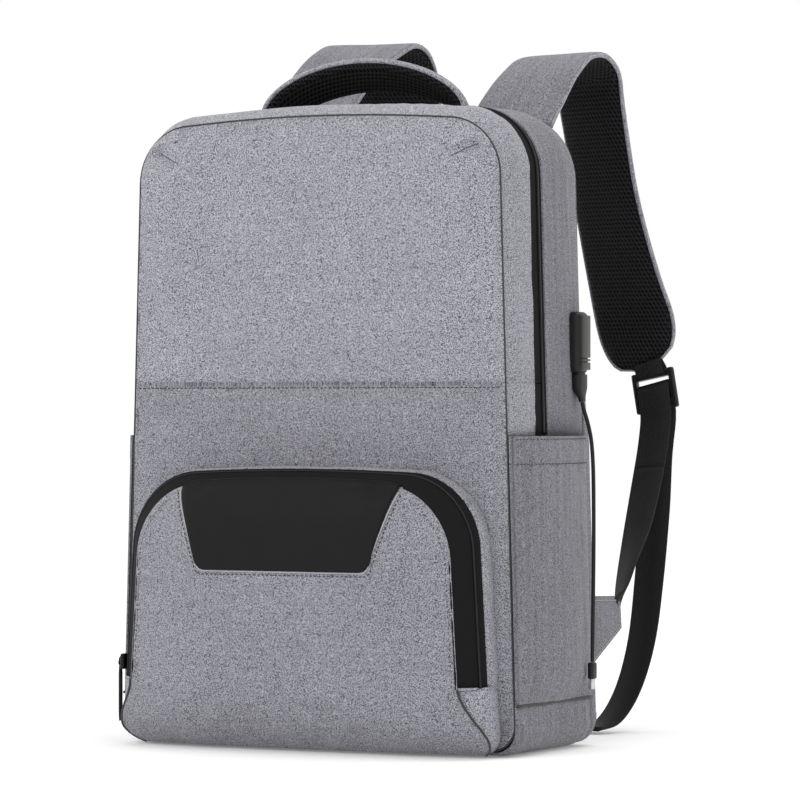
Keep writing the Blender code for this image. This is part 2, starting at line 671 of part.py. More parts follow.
def charging_plug():
    """The plug in the port's underside, with the short cable that hangs from it."""
    mid_y = (PORT_Y[0] + PORT_Y[1]) / 2
    plug = box("charging_plug", (PLUG_X[0], mid_y - PLUG_HALF, PLUG_Z[0]),
               (PLUG_X[1], mid_y + PLUG_HALF, PLUG_Z[1]), 0.0018)
    room = 0.0005
    tongue_half = (PORT_Y[1] - PORT_Y[0]) / 2 - PORT_WALL - 2 * room
    tongue = tool_box("plug_tongue", (PORT_X[0] + PORT_WALL + room, mid_y - tongue_half, PLUG_Z[0] + 0.010),
                      (PORT_X[1] - PORT_WALL - room, mid_y + tongue_half, TONGUE_TOP))
    plastic(combine(plug, tongue, "UNION"))
    line = smooth_line(CABLE_ROUTE, 2.4 * CABLE_DIAMETER)
    cable = plastic(tube("charging_cable", line, CABLE_DIAMETER / 2))
    thick, width, length = CONNECTOR
    end = CABLE_ROUTE[-1]
    top = end[2] - CLEAR
    connector = box("cable_connector", (end[0] - thick / 2, end[1] - width / 2, top - length),
                    (end[0] + thick / 2, end[1] + width / 2, top), 0.0012)
    plastic(connector)
    ride_on(pivot_at("plug_axis", (CABLE_ROUTE[0][0], mid_y, PORT_Z[0])), plug, cable, connector)


BANK_LOW = (0.1145, -0.040, 0.088)
BANK_HIGH = (0.1300, 0.028, 0.228)
SLEEVE_TOP = 0.200
LEAD_ROUTE = [(0.1222, -0.006, 0.2484), (0.1222, -0.006, 0.2560), (0.1235, 0.002, 0.2700),
              (0.1250, 0.014, 0.2780), (0.1262, 0.024, 0.2795), (0.1272, 0.0310, 0.2775)]


def power_bank():
    """The battery in its sleeve on the right wall, and the lead from the port's socket to it."""
    plastic(box("power_bank", BANK_LOW, BANK_HIGH, 0.003), (0.03, 0.03, 0.032))
    room = 0.0006
    cloth = 0.0020
    low = [value - room for value in BANK_LOW]
    high = [value + room for value in BANK_HIGH]
    sleeve = box("power_bank_sleeve", [value - cloth for value in low],
                 (high[0] + cloth, high[1] + cloth, SLEEVE_TOP))
    fabric(cut(sleeve, low, high), BLACK)
    plastic(box("internal_plug", (0.1182, -0.014, 0.2284), (0.1263, 0.002, 0.2480), 0.0015, 1))
    plastic(tube("internal_cable", smooth_line(LEAD_ROUTE, 0.005), 0.0015))


# ---------------------------------------------------------------- the whole backpack
def build_backpack():
    body_shell()
    upper_piping, _ = piping()
    panel, gusset = main_flap()
    _, front_tape = main_zipper()
    ride_on(pivot_at("main_flap_axis", (0, FRONT, SEAM_Z)), panel, gusset, upper_piping, front_tape)
    side_pockets()
    tape, pocket_panel, patch = front_pocket()
    ride_on(pivot_at("pocket_flap_axis", (0, POCKET_FRONT - 0.001, POCKET_FOLD_Z)), tape, pocket_panel, patch)
    zipper_sliders()
    carry_handle()
    shoulder_strap(LEFT, "left")
    shoulder_strap(RIGHT, "right")
    charging_port()
    charging_plug()
    power_bank()


build_backpack()
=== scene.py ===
"""Looks of the laptop backpack with a charging port: soft shells, straps, stitches, cable and finishes."""
import json
import math

import bmesh
import bpy
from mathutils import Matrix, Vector, noise
from mathutils.bvhtree import BVHTree


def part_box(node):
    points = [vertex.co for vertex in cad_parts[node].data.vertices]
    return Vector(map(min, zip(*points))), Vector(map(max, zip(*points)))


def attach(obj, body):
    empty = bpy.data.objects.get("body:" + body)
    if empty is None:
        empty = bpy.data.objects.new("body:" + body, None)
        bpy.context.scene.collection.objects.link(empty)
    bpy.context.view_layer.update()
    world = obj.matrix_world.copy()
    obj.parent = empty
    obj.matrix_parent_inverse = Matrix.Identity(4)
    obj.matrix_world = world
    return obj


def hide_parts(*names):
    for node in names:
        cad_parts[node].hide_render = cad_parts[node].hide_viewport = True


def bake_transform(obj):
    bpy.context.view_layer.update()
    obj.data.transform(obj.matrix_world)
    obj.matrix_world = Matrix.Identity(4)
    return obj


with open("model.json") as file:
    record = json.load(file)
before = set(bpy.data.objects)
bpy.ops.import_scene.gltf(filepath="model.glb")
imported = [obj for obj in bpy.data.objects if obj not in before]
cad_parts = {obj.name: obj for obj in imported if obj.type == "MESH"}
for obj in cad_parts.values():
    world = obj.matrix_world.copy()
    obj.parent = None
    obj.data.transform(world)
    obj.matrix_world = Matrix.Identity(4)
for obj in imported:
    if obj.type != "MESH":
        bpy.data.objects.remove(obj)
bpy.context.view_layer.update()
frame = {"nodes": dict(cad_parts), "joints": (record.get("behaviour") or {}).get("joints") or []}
JOINTS = {joint["name"]: joint for joint in frame["joints"]}

# ---------------------------------------------------------------- sizes read from the frame
HALF_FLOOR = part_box("base_tub")[1][0]
HEM_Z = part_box("rear_gusset")[0][2]
TAPER = (HALF_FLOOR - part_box("rear_gusset")[1][0]) / HEM_Z
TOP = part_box("rear_gusset")[1][2]
TUB_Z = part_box("base_tub")[1][2]
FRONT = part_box("front_panel_upper")[0][1]
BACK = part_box("back_panel")[1][1]
TUB_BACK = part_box("base_tub")[1][1]
SEAM_Z = (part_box("front_panel_upper")[0][2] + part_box("front_panel_lower")[1][2]) / 2
PANEL_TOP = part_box("front_panel_upper")[1][2]
PANEL_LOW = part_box("front_panel_lower")[0][2]
ZIP_Y = (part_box("main_zipper_tape_front")[1][1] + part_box("main_zipper_tape_rear")[0][1]) / 2
TAPE_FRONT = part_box("main_zipper_tape_front")[0][1]
TAPE_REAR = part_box("main_zipper_tape_rear")[1][1]
POCKET_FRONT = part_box("pocket_panel")[0][1]
POCKET_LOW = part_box("pocket_panel")[0][2]
POCKET_RISE = 0.0028        # how far the black band stands above the CAD tape
POCKET_WIDER = 0.0038       # and outside it on each side
POCKET_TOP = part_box("pocket_tape_rear")[1][2] + POCKET_RISE
POCKET_COIL_Y = (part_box("pocket_tape_front")[1][1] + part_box("pocket_tape_rear")[0][1]) / 2
POCKET_TAPER = 0.058
POCKET_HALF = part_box("pocket_tape_rear")[1][0] + POCKET_TAPER * POCKET_LOW + POCKET_WIDER
POCKET_LEAN = 0.0137        # how far the black band leans in from the coil to the cloth's edge
TOP_LEAN = 0.0083           # the same over the pocket's top
POCKET_RADIUS = 0.054
TOP_RADIUS = 0.048
SEAM_RADIUS = 0.040
FLOOR_RADIUS = 0.018
CROWN = 0.004
SEAM_INSET = 0.003
SEAM_DROP = TOP - PANEL_TOP
CLOTH = 0.0016
RIGHT = 1
LEFT = -1
SIDES = ((LEFT, "left"), (RIGHT, "right"))


# ---------------------------------------------------------------- camera, light and floor
def look_from(azimuth, distance, height, lens, shift_x, shift_y):
    """The level camera. Azimuth 0 looks along +Y, and a positive one stands towards +X."""
    data = bpy.data.cameras.new("camera")
    camera = bpy.data.objects.new("camera", data)
    bpy.context.scene.collection.objects.link(camera)
    turn = math.radians(azimuth)
    camera.location = (distance * math.sin(turn), -distance * math.cos(turn), height)
    camera.rotation_euler = (math.radians(90), 0, turn)
    data.lens = lens
    data.shift_x = shift_x
    data.shift_y = shift_y
    data.clip_end = 20
    bpy.context.scene.camera = camera


def area_light(name, place, target, size, power):
    data = bpy.data.lights.new(name, "AREA")
    data.shape = "RECTANGLE"
    data.size = size[0]
    data.size_y = size[1]
    data.energy = power
    lamp = bpy.data.objects.new(name, data)
    bpy.context.scene.collection.objects.link(lamp)
    lamp.location = place
    lamp.rotation_euler = (Vector(target) - Vector(place)).to_track_quat("-Z", "Y").to_euler()


def studio():
    """Plain pale floor, bright even surroundings and two soft lamps."""
    look_from(28.2, 2.975, 0.2363, 189.7, 0.0489, 0.0096)
    world = bpy.data.worlds.new("studio")
    bpy.context.scene.world = world
    world.use_nodes = True
    world.node_tree.nodes["Background"].inputs["Color"].default_value = (1, 1, 1, 1)
    world.node_tree.nodes["Background"].inputs["Strength"].default_value = 1.0
    middle = (0, 0, 0.24)
    area_light("key", (-0.5, -2.4, 1.6), middle, (1.6, 1.2), 20)
    area_light("top", (0.3, 0.4, 2.2), middle, (1.2, 1.2), 10)
    bpy.ops.mesh.primitive_plane_add(size=14, location=(0, 0, -0.0006))
    floor = bpy.context.object
    floor.name = "floor"
    material = bpy.data.materials.new("floor")
    material.use_nodes = True
    shader = material.node_tree.nodes["Principled BSDF"]
    shader.inputs["Base Color"].default_value = (0.88, 0.88, 0.88, 1)
    shader.inputs["Roughness"].default_value = 1.0
    shader.inputs["Emission Color"].default_value = (1, 1, 1, 1)
    shader.inputs["Emission Strength"].default_value = 0.16
    floor.data.materials.append(material)
    bpy.context.scene.view_settings.view_transform = "Standard"


# ---------------------------------------------------------------- materials
class Finish:
    """A Principled material and short calls that add nodes to it."""

    def __init__(self, name, colour, roughness, metallic=0.0, sheen=0.0, specular=0.5):
        self.material = bpy.data.materials.new(name)
        self.material.use_nodes = True
        self.tree = self.material.node_tree
        self.shader = self.tree.nodes["Principled BSDF"]
        self.shader.inputs["Base Color"].default_value = (*colour, 1)
        self.shader.inputs["Roughness"].default_value = roughness
        self.shader.inputs["Metallic"].default_value = metallic
        self.shader.inputs["Sheen Weight"].default_value = sheen
        self.shader.inputs["Specular IOR Level"].default_value = specular
        self.texture = self.node("ShaderNodeTexCoord")

    def node(self, kind, **settings):
        made = self.tree.nodes.new(kind)
        for key, value in settings.items():
            setattr(made, key, value)
        return made

    def link(self, source, target):
        self.tree.links.new(source, target)

    def feed(self, socket, value):
        """Join a socket to another node's output, or give it a plain value."""
        if isinstance(value, bpy.types.NodeSocket):
            self.link(value, socket)
        else:
            socket.default_value = value

    def sum(self, operation, first, second=0.0, third=None):
        made = self.node("ShaderNodeMath", operation=operation)
        self.feed(made.inputs[0], first)
        self.feed(made.inputs[1], second)
        if third is not None:
            self.feed(made.inputs[2], third)
        return made.outputs[0]

    def blend(self, factor, first, second):
        """first where factor is 0, second where it is 1."""
        return self.sum("MULTIPLY_ADD", factor, self.sum("SUBTRACT", second, first), first)

    def vector(self, x, y, z):
        made = self.node("ShaderNodeCombineXYZ")
        for socket, value in zip(made.inputs, (x, y, z)):
            self.feed(socket, value)
        return made.outputs[0]

    def noise(self, vector, scale, detail=2.0, roughness=0.5):
        made = self.node("ShaderNodeTexNoise")
        self.feed(made.inputs["Vector"], vector)
        made.inputs["Scale"].default_value = scale
        made.inputs["Detail"].default_value = detail
        made.inputs["Roughness"].default_value = roughness
        return made.outputs["Fac"]

    def ramp(self, factor, *stops):
        """A colour ramp through (position, colour) stops."""
        made = self.node("ShaderNodeValToRGB")
        self.feed(made.inputs["Fac"], factor)
        elements = made.color_ramp.elements
        while len(elements) < len(stops):
            elements.new(0.5)
        for element, (position, colour) in zip(elements, stops):
            element.position = position
            element.color = (*colour, 1)
        return made.outputs["Color"]

    def grey_ramp(self, factor, *stops):
        return self.ramp(factor, *[(place, (value, value, value)) for place, value in stops])

    def flat_coordinates(self):
        """Metres across and up on whichever plane the surface faces most."""
        place = self.node("ShaderNodeSeparateXYZ")
        self.link(self.texture.outputs["Object"], place.inputs[0])
        facing = self.node("ShaderNodeSeparateXYZ")
        self.link(self.texture.outputs["Normal"], facing.inputs[0])
        towards_x, towards_y, towards_z = [self.sum("ABSOLUTE", facing.outputs[i]) for i in range(3)]
        level = self.sum("GREATER_THAN", towards_z, self.sum("MAXIMUM", towards_x, towards_y))
        sideways = self.sum("GREATER_THAN", towards_x, towards_y)
        sideways = self.sum("MULTIPLY", sideways, self.sum("SUBTRACT", 1.0, level))
        across = self.blend(sideways, place.outputs["X"], place.outputs["Y"])
        up = self.blend(level, place.outputs["Z"], place.outputs["Y"])
        return across, up, place

    def tint(self, colour, factor, low, high):
        """Multiply a colour by a grey that runs from low to high."""
        made = self.node("ShaderNodeMix", data_type="RGBA", blend_type="MULTIPLY")
        made.inputs["Factor"].default_value = 1.0
        self.link(colour, made.inputs["A"])
        self.link(self.grey_ramp(factor, (0.25, low), (0.75, high)), made.inputs["B"])
        return made.outputs["Result"]

    def bump(self, height, strength, distance):
        made = self.node("ShaderNodeBump")
        self.link(height, made.inputs["Height"])
        made.inputs["Strength"].default_value = strength
        made.inputs["Distance"].default_value = distance
        self.link(made.outputs["Normal"], self.shader.inputs["Normal"])

    def colour(self, value):
        self.link(value, self.shader.inputs["Base Color"])

    def rough(self, value):
        self.link(value, self.shader.inputs["Roughness"])


def shade(colour, share):
    return tuple(part * share for part in colour)


HERRINGBONE = 0.0032    # width of one column of slanting yarns


def heather(name, dark, light, streaks=0.0, upright=0.0):
    """Two-tone melange cloth in a fine herringbone twill."""
    finish = Finish(name, light, 0.92, sheen=0.12)
    across, up, place = finish.flat_coordinates()
    column = finish.sum("FLOOR", finish.sum("DIVIDE", across, HERRINGBONE))
    lean = finish.sum("MULTIPLY_ADD", finish.sum("PINGPONG", column, 1.0), 2.0, -1.0)
    slant = finish.sum("MULTIPLY", across, lean)
    over_yarn = finish.sum("MULTIPLY", finish.sum("ADD", slant, up), 1550.0)
    along_yarn = finish.sum("MULTIPLY", finish.sum("SUBTRACT", slant, up), 640.0)
    yarn = finish.vector(over_yarn, along_yarn, finish.sum("MULTIPLY", column, 3.7))
    fleck = finish.noise(yarn, 1.0, 1.5, 0.6)
    colour = finish.ramp(fleck, (0.39, dark), (0.57, light))
    broad = finish.noise(finish.texture.outputs["Object"], 14.0, 2.0)
    colour = finish.tint(colour, broad, 0.94, 1.05)
    if streaks:
        lines = finish.vector(finish.sum("MULTIPLY", place.outputs["X"], 22.0), 0.0,
                              finish.sum("MULTIPLY", place.outputs["Z"], 420.0))
        colour = finish.tint(colour, finish.noise(lines, 1.0, 2.0), 1.0 - streaks, 1.0 + streaks)
    if upright:
        lines = finish.vector(finish.sum("MULTIPLY", across, 260.0), finish.sum("MULTIPLY", up, 9.0), 0.0)
        colour = finish.tint(colour, finish.noise(lines, 1.0, 2.0), 1.0 - upright, 1.0 + upright)
    finish.colour(colour)
    finish.bump(fleck, 0.30, 0.0005)
    return finish.material


def air_mesh(name="air_mesh"):
    """Black knitted spacer mesh: rows of small round holes."""
    finish = Finish(name, (0.012, 0.012, 0.013), 0.8, specular=0.12)
    across, up, _ = finish.flat_coordinates()
    pitch = 1 / 0.0031
    skewed = finish.sum("MULTIPLY", finish.sum("ADD", across, finish.sum("MULTIPLY", up, 0.5)), pitch)
    cells = finish.node("ShaderNodeTexVoronoi")
    finish.link(finish.vector(skewed, finish.sum("MULTIPLY", up, pitch), 0.0), cells.inputs["Vector"])
    cells.inputs["Scale"].default_value = 1.0
    cells.inputs["Randomness"].default_value = 0.0
    rim = cells.outputs["Distance"]
    fuzz = finish.noise(finish.texture.outputs["Object"], 900.0, 2.0)
    # The holes are painted near black: painted shade in their depth. The rims keep the mesh's own dark tone.
    holes = finish.ramp(rim, (0.26, (0.0015, 0.0015, 0.0017)), (0.46, (0.021, 0.021, 0.023)))
    finish.colour(finish.tint(holes, fuzz, 0.75, 1.25))
    finish.bump(finish.grey_ramp(rim, (0.22, 0.0), (0.5, 1.0)), 0.9, 0.0011)
    return finish.material


def black_cloth(name, value, grain, roughness, strength):
    """Plain dark cloth with a fine grain: tapes, patch and lining."""
    finish = Finish(name, (value, value, value * 1.05), roughness, specular=0.14)
    weave = finish.noise(finish.texture.outputs["Object"], grain, 3.0, 0.6)
    low = value * 0.75
    high = value * 1.3
    finish.colour(finish.ramp(weave, (0.3, (low, low, low * 1.05)), (0.7, (high, high, high * 1.06))))
    finish.rough(finish.grey_ramp(weave, (0.3, roughness - 0.06), (0.7, roughness + 0.05)))
    finish.bump(weave, strength, 0.0003)
    return finish.material


def ribbed_webbing(name="webbing_weave"):
    """Black webbing with ribs across it, from the strip's own length coordinate."""
    finish = Finish(name, (0.012, 0.012, 0.013), 0.62, specular=0.15)
    strip = finish.node("ShaderNodeUVMap", uv_map="strip")
    parts = finish.node("ShaderNodeSeparateXYZ")
    finish.link(strip.outputs["UV"], parts.inputs[0])
    ribs = finish.sum("SINE", finish.sum("MULTIPLY", parts.outputs["Y"], 2 * math.pi / 0.0019))
    cords = finish.sum("SINE", finish.sum("MULTIPLY", parts.outputs["X"], 2 * math.pi / 0.0014))
    weave = finish.sum("MULTIPLY_ADD", finish.sum("MULTIPLY", ribs, cords), 0.35, 0.5)
    fuzz = finish.noise(finish.texture.outputs["Object"], 700.0, 2.0)
    mixed = finish.blend(0.35, weave, fuzz)
    finish.colour(finish.ramp(mixed, (0.2, (0.0075, 0.0075, 0.008)), (0.8, (0.020, 0.020, 0.022))))
    finish.bump(mixed, 0.7, 0.0005)
    return finish.material


def moulded(name, value, roughness, tone=(1, 1, 1), metallic=0.0):
    """Moulded plastic or enamel with a faint grain and uneven gloss."""
    colour = tuple(value * part for part in tone)
    finish = Finish(name, colour, roughness, metallic, specular=0.25)
    grain = finish.noise(finish.texture.outputs["Object"], 1500.0, 2.0)
    wear = finish.noise(finish.texture.outputs["Object"], 60.0, 3.0)
    finish.colour(finish.ramp(wear, (0.3, shade(colour, 0.88)), (0.7, shade(colour, 1.12))))
    finish.rough(finish.grey_ramp(wear, (0.3, roughness - 0.05), (0.7, roughness + 0.07)))
    finish.bump(grain, 0.15, 0.0001)
    return finish.material


def thread(name, value):
    """Twisted sewing thread."""
    finish = Finish(name, (value, value, value * 1.08), 0.7, sheen=0.1)
    twist = finish.noise(finish.texture.outputs["Object"], 2400.0, 1.0)
    low = value * 0.7
    high = value * 1.3
    finish.colour(finish.ramp(twist, (0.3, (low, low, low * 1.08)), (0.7, (high, high, high * 1.08))))
    finish.bump(twist, 0.4, 0.0002)
    return finish.material


DARK_YARN = (0.042, 0.044, 0.055)
LIGHT_YARN = (0.400, 0.400, 0.440)
MATERIALS = {
    "heather": heather("heather_cloth", DARK_YARN, LIGHT_YARN),
    # A darker copy of the heather cloth: painted shade for the lower front panel and the pocket, which the
    # light from above reaches less. Its faint streaks are the cloth's own.
    "heather_low_painted_shade": heather("heather_cloth_painted_shade_low", DARK_YARN, shade(LIGHT_YARN, 0.80), 0.09),
    # A darker copy of the heather cloth: painted shade on the side walls, side pockets, rear gusset, base,
    # back, straps and anchor tabs. Its upright streaks are the cloth's own.
    "heather_side": heather("heather_cloth_side_painted_shade", shade(DARK_YARN, 0.95), shade(LIGHT_YARN, 0.59),
                            upright=0.20),
    "mesh": air_mesh(),
    "tape": black_cloth("tape_cloth", 0.0065, 1300.0, 0.85, 0.5),
    "patch": black_cloth("patch_cloth", 0.0065, 1700.0, 0.60, 0.25),
    "lining": black_cloth("lining_cloth", 0.030, 1100.0, 0.8, 0.4),
    "webbing": ribbed_webbing(),
    "coil": moulded("coil_nylon", 0.010, 0.45),
    "plastic": moulded("black_plastic", 0.012, 0.38),
    "gunmetal": moulded("gunmetal_face", 0.046, 0.33, (1.05, 1.0, 0.95)),
    "enamel": moulded("slider_enamel", 0.012, 0.30, metallic=0.6),
    "steel": moulded("plug_steel", 0.55, 0.28, metallic=1.0),
    "jacket": moulded("cable_jacket", 0.010, 0.42),
    "board": moulded("base_board", 0.035, 0.6),
    # Dark thread for the stitches. It is also used for the thin cords of painted shade along the front seam
    # and the darts.
    "thread_dark": thread("thread_dark", 0.022),
    "thread_light": thread("thread_light", 0.36),
}


# ---------------------------------------------------------------- mesh helpers
def add_mesh(name, shape, material, smooth=True):
    mesh = bpy.data.meshes.new(name)
    shape.to_mesh(mesh)
    shape.free()
    piece = bpy.data.objects.new(name, mesh)
    bpy.context.scene.collection.objects.link(piece)
    for key in ([material] if isinstance(material, str) else material):
        mesh.materials.append(MATERIALS[key])
    if smooth:
        mesh.shade_smooth()
    return piece


def finished(piece):
    """Apply the piece's modifiers, so that its mesh is final."""
    graph = bpy.context.evaluated_depsgraph_get()
    mesh = bpy.data.meshes.new_from_object(piece.evaluated_get(graph))
    piece.modifiers.clear()
    piece.data = mesh
    return piece


def surface(name, rows, material, closed=False, inner="lining"):
    """A cloth surface through rows of points, with a second material for its inside."""
    shape = bmesh.new()
    lines = [[shape.verts.new(point) for point in row] for row in rows]
    for low, high in zip(lines, lines[1:]):
        count = len(low)
        for i in range(count if closed else count - 1):
            j = (i + 1) % count
            shape.faces.new((low[i], low[j], high[j], high[i]))
    return add_mesh(name, shape, [material, inner])


def distances(line):
    """How far along a line each of its points is."""
    travelled = [0.0]
    for a, b in zip(line, line[1:]):
        travelled.append(travelled[-1] + (b - a).length)
    return travelled


def bridge(shape, rings):
    """Join closed rings of points into one capped tube."""
    count = len(rings[0])
    for low, high in zip(rings, rings[1:]):
        for k in range(count):
            shape.faces.new((low[k], low[(k + 1) % count], high[(k + 1) % count], high[k]))
    shape.faces.new(rings[0][::-1])
    shape.faces.new(rings[-1])


def cross_axes(line, sides, i):
    """The width direction and the face normal of a band at one point of its line."""
    last = len(line) - 1
    along = (line[min(i + 1, last)] - line[max(i - 1, 0)]).normalized()
    across = (sides[i] - along * sides[i].dot(along)).normalized()
    return across, along.cross(across)


def bulged(value, power):
    """A value whose size is raised to a power and whose sign is kept."""
    return math.copysign(abs(value) ** power, value)


def sweep(name, line, sides, section, material, uv=False):
    """A closed section carried along a line. section(i, t) gives loop points as (across, along the
    face normal) in metres, and sides holds each point's width direction."""
    shape = bmesh.new()
    last = len(line) - 1
    loops = []
    travelled = distances(line)
    for i, point in enumerate(line):
        across, normal = cross_axes(line, sides, i)
        loop = section(i, i / last)
        loops.append([shape.verts.new(point + across * u + normal * v) for u, v in loop])
    count = len(loops[0])
    strip = shape.loops.layers.uv.new("strip") if uv else None
    for i, (low, high) in enumerate(zip(loops, loops[1:])):
        for k in range(count):
            face = shape.faces.new((low[k], low[(k + 1) % count], high[(k + 1) % count], high[k]))
            if strip:
                for corner in face.loops:
                    row = i if corner.vert in low else i + 1
                    index = (low if row == i else high).index(corner.vert)
                    corner[strip].uv = (section(row, row / last)[index][0], travelled[row])
    shape.faces.new(loops[0][::-1])
    shape.faces.new(loops[-1])
    bmesh.ops.recalc_face_normals(shape, faces=shape.faces)
    return add_mesh(name, shape, material)


def smooth_line(points, spacing):
    """Points about spacing apart on a smooth curve through the given points."""
    points = [Vector(point) for point in points]
    padded = [2 * points[0] - points[1]] + points + [2 * points[-1] - points[-2]]
    line = [points[0]]
    for a, b, c, d in zip(padded, padded[1:], padded[2:], padded[3:]):
        steps = max(1, round((c - b).length / spacing))
        for i in range(1, steps + 1):
            t = i / steps
            line.append(0.5 * (2 * b + (c - a) * t + (2 * a - 5 * b + 4 * c - d) * t ** 2
                               + (3 * b - a - 3 * c + d) * t ** 3))
    return line


def round_section(radius, count=8):
    loop = [(radius * math.cos(2 * math.pi * k / count), radius * math.sin(2 * math.pi * k / count))
            for k in range(count)]
    return lambda i, t: loop


def cord_piece(name, line, radius, material, count=8):
    """A round closed cord along a line, for piping and coils' cores."""
    sides = []
    for a, b in zip(line, line[1:] + [2 * line[-1] - line[-2]]):
        along = (b - a).normalized()
        sides.append(Vector((0, 1, 0)) if abs(along.y) < 0.8 else Vector((1, 0, 0)))
    return sweep(name, line, sides, round_section(radius, count), material)


def inflate(piece, pinned, pressure, cap, shrink=-0.01, frames=20):
    """Blow an open cloth surface outwards by cloth simulation, held at its pinned points."""
    group = piece.vertex_groups.new(name="held")
    group.add(pinned, 1.0, "REPLACE")
    start = [vertex.co.copy() for vertex in piece.data.vertices]
    modifier = piece.modifiers.new("inflate", "CLOTH")
    settings = modifier.settings
    settings.quality = 6
    settings.mass = 0.15
    settings.tension_stiffness = 18
    settings.compression_stiffness = 18
    settings.shear_stiffness = 6
    settings.bending_stiffness = 0.8
    settings.air_damping = 4
    settings.vertex_group_mass = "held"
    settings.use_pressure = True
    settings.uniform_pressure_force = pressure
    settings.shrink_min = shrink
    settings.effector_weights.gravity = 0
    modifier.collision_settings.use_collision = False
    modifier.point_cache.frame_start = 1
    modifier.point_cache.frame_end = frames
    scene = bpy.context.scene
    for number in range(1, frames + 1):
        scene.frame_set(number)
    graph = bpy.context.evaluated_depsgraph_get()
    moved = [vertex.co.copy() for vertex in piece.evaluated_get(graph).data.vertices]
    piece.modifiers.remove(modifier)
    scene.frame_set(1)
    for vertex, low, high in zip(piece.data.vertices, start, moved):
        shift = high - low
        if shift.length > cap:
            shift = shift * (cap / shift.length)
        vertex.co = low + shift
    return piece


def stitches(name, line, normals, material, pitch=0.0034, length=0.0024, radius=0.00038, lift=0.0001):
    """Separate thread stitches laid along a line, each a small closed capsule."""
    shape = bmesh.new()
    travelled = distances(line)

    def at(distance):
        for i in range(len(line) - 1):
            if travelled[i + 1] >= distance:
                t = (distance - travelled[i]) / max(travelled[i + 1] - travelled[i], 1e-9)
                return line[i].lerp(line[i + 1], t), normals[i].lerp(normals[i + 1], t).normalized()
        return line[-1], normals[-1]

    sides = 5
    for number in range(int(travelled[-1] / pitch)):
        place = pitch * (number + 0.2)
        rings = []
        for share, fat, height in ((0.0, 0.35, -0.4), (0.25, 1.0, 0.4), (0.75, 1.0, 0.4), (1.0, 0.35, -0.4)):
            point, normal = at(place + length * share)
            ahead, _ = at(place + length * share + 0.0004)
            along = (ahead - point).normalized() if (ahead - point).length > 1e-6 else Vector((0, 0, 1))
            across = along.cross(normal).normalized()
            centre = point + normal * (lift + radius * height)
            rings.append([shape.verts.new(centre + across * radius * fat * math.cos(2 * math.pi * k / sides)
                                          + normal * radius * fat * math.sin(2 * math.pi * k / sides))
                          for k in range(sides)])
        bridge(shape, rings)
    bmesh.ops.recalc_face_normals(shape, faces=shape.faces)
    return add_mesh(name, shape, material)


def stand_for(piece, body, slot_name, *nodes):
    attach(piece, body)
    if nodes:
        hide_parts(*nodes)
    return piece


# ---------------------------------------------------------------- the body's shape
def half_width(z, inset=0.0):
    return HALF_FLOOR - TAPER * z - inset


def pocket_half(z, inset=0.0):
    return POCKET_HALF - POCKET_TAPER * z - inset


def arch(z_start, inset=0.0, drop=0.0, radius=TOP_RADIUS, top=TOP, half=half_width, crown=CROWN,
         straight=10, round_steps=12, level=14):
    """The outline over the top as (x, z), from the left side at z_start to the right side."""
    edge_z = top - drop - crown
    corner_z = edge_z - radius
    corner_x = half(corner_z, inset) - radius
    right = []
    for i in range(straight):
        z = z_start + (corner_z - z_start) * i / straight
        right.append((half(z, inset), z))
    for i in range(round_steps + 1):
        angle = math.pi / 2 * i / round_steps
        right.append((corner_x + radius * math.cos(angle), corner_z + radius * math.sin(angle)))
    for i in range(1, level + 1):
        t = 1 - i / level
        right.append((corner_x * t, edge_z + crown * (1 - t * t)))
    return [(-x, z) for x, z in right[:-1]] + right[::-1]


def floor_line(z_start, inset=0.0, lift=0.0, straight=6, round_steps=8, level=16):
    """The outline under the floor as (x, z), from the right side at z_start to the left side."""
    corner_x = half_width(lift, inset) - FLOOR_RADIUS
    right = []
    for i in range(straight):
        z = z_start + (lift + FLOOR_RADIUS - z_start) * i / straight
        right.append((half_width(z, inset), z))
    for i in range(round_steps + 1):
        angle = -math.pi / 2 * i / round_steps
        right.append((corner_x + FLOOR_RADIUS * math.cos(angle),
                      lift + FLOOR_RADIUS + FLOOR_RADIUS * math.sin(angle)))
    for i in range(1, level + 1):
        right.append((corner_x * (1 - i / level), lift))
    return right + [(-x, z) for x, z in right[-2::-1]]


def at_depth(outline, y):
    return [Vector((x, y, z)) for x, z in outline]


def ease(t):
    t = min(max(t, 0.0), 1.0)
    return t * t * (3 - 2 * t)


def ruffle(x, y, z, scale=18.0):
    """Smooth unevenness between -1 and 1, for soft cloth."""
    return noise.noise(Vector((x * scale, y * scale, z * scale)))


# ---------------------------------------------------------------- surfaces that other pieces are laid on
class Skin:
    """Finished pieces that points can be cast onto."""

    def __init__(self, *pieces):
        shape = bmesh.new()
        graph = bpy.context.evaluated_depsgraph_get()
        for piece in pieces:
            shape.from_object(piece, graph)
        self.tree = BVHTree.FromBMesh(shape)
        shape.free()

    def land(self, point, direction):
        """The first place that a ray through the point meets, coming from far off, and its normal."""
        direction = Vector(direction)
        place, normal, _, _ = self.tree.ray_cast(Vector(point) - direction * 0.2, direction)
        if place is None:
            return Vector(point), -direction
        return place, (normal if normal.dot(direction) < 0 else -normal)

    def trace(self, points, direction, step=0.0015):
        """A line through the points, laid on the surface: its places and normals."""
        line = []
        for a, b in zip(points, points[1:]):
            a, b = Vector(a), Vector(b)
            steps = max(1, round((b - a).length / step))
            line += [a.lerp(b, i / steps) for i in range(steps)]
        line.append(Vector(points[-1]))
        landed = [self.land(point, direction) for point in line]
        return [place for place, _ in landed], [normal for _, normal in landed]


FORWARDS = (0, 1, 0)


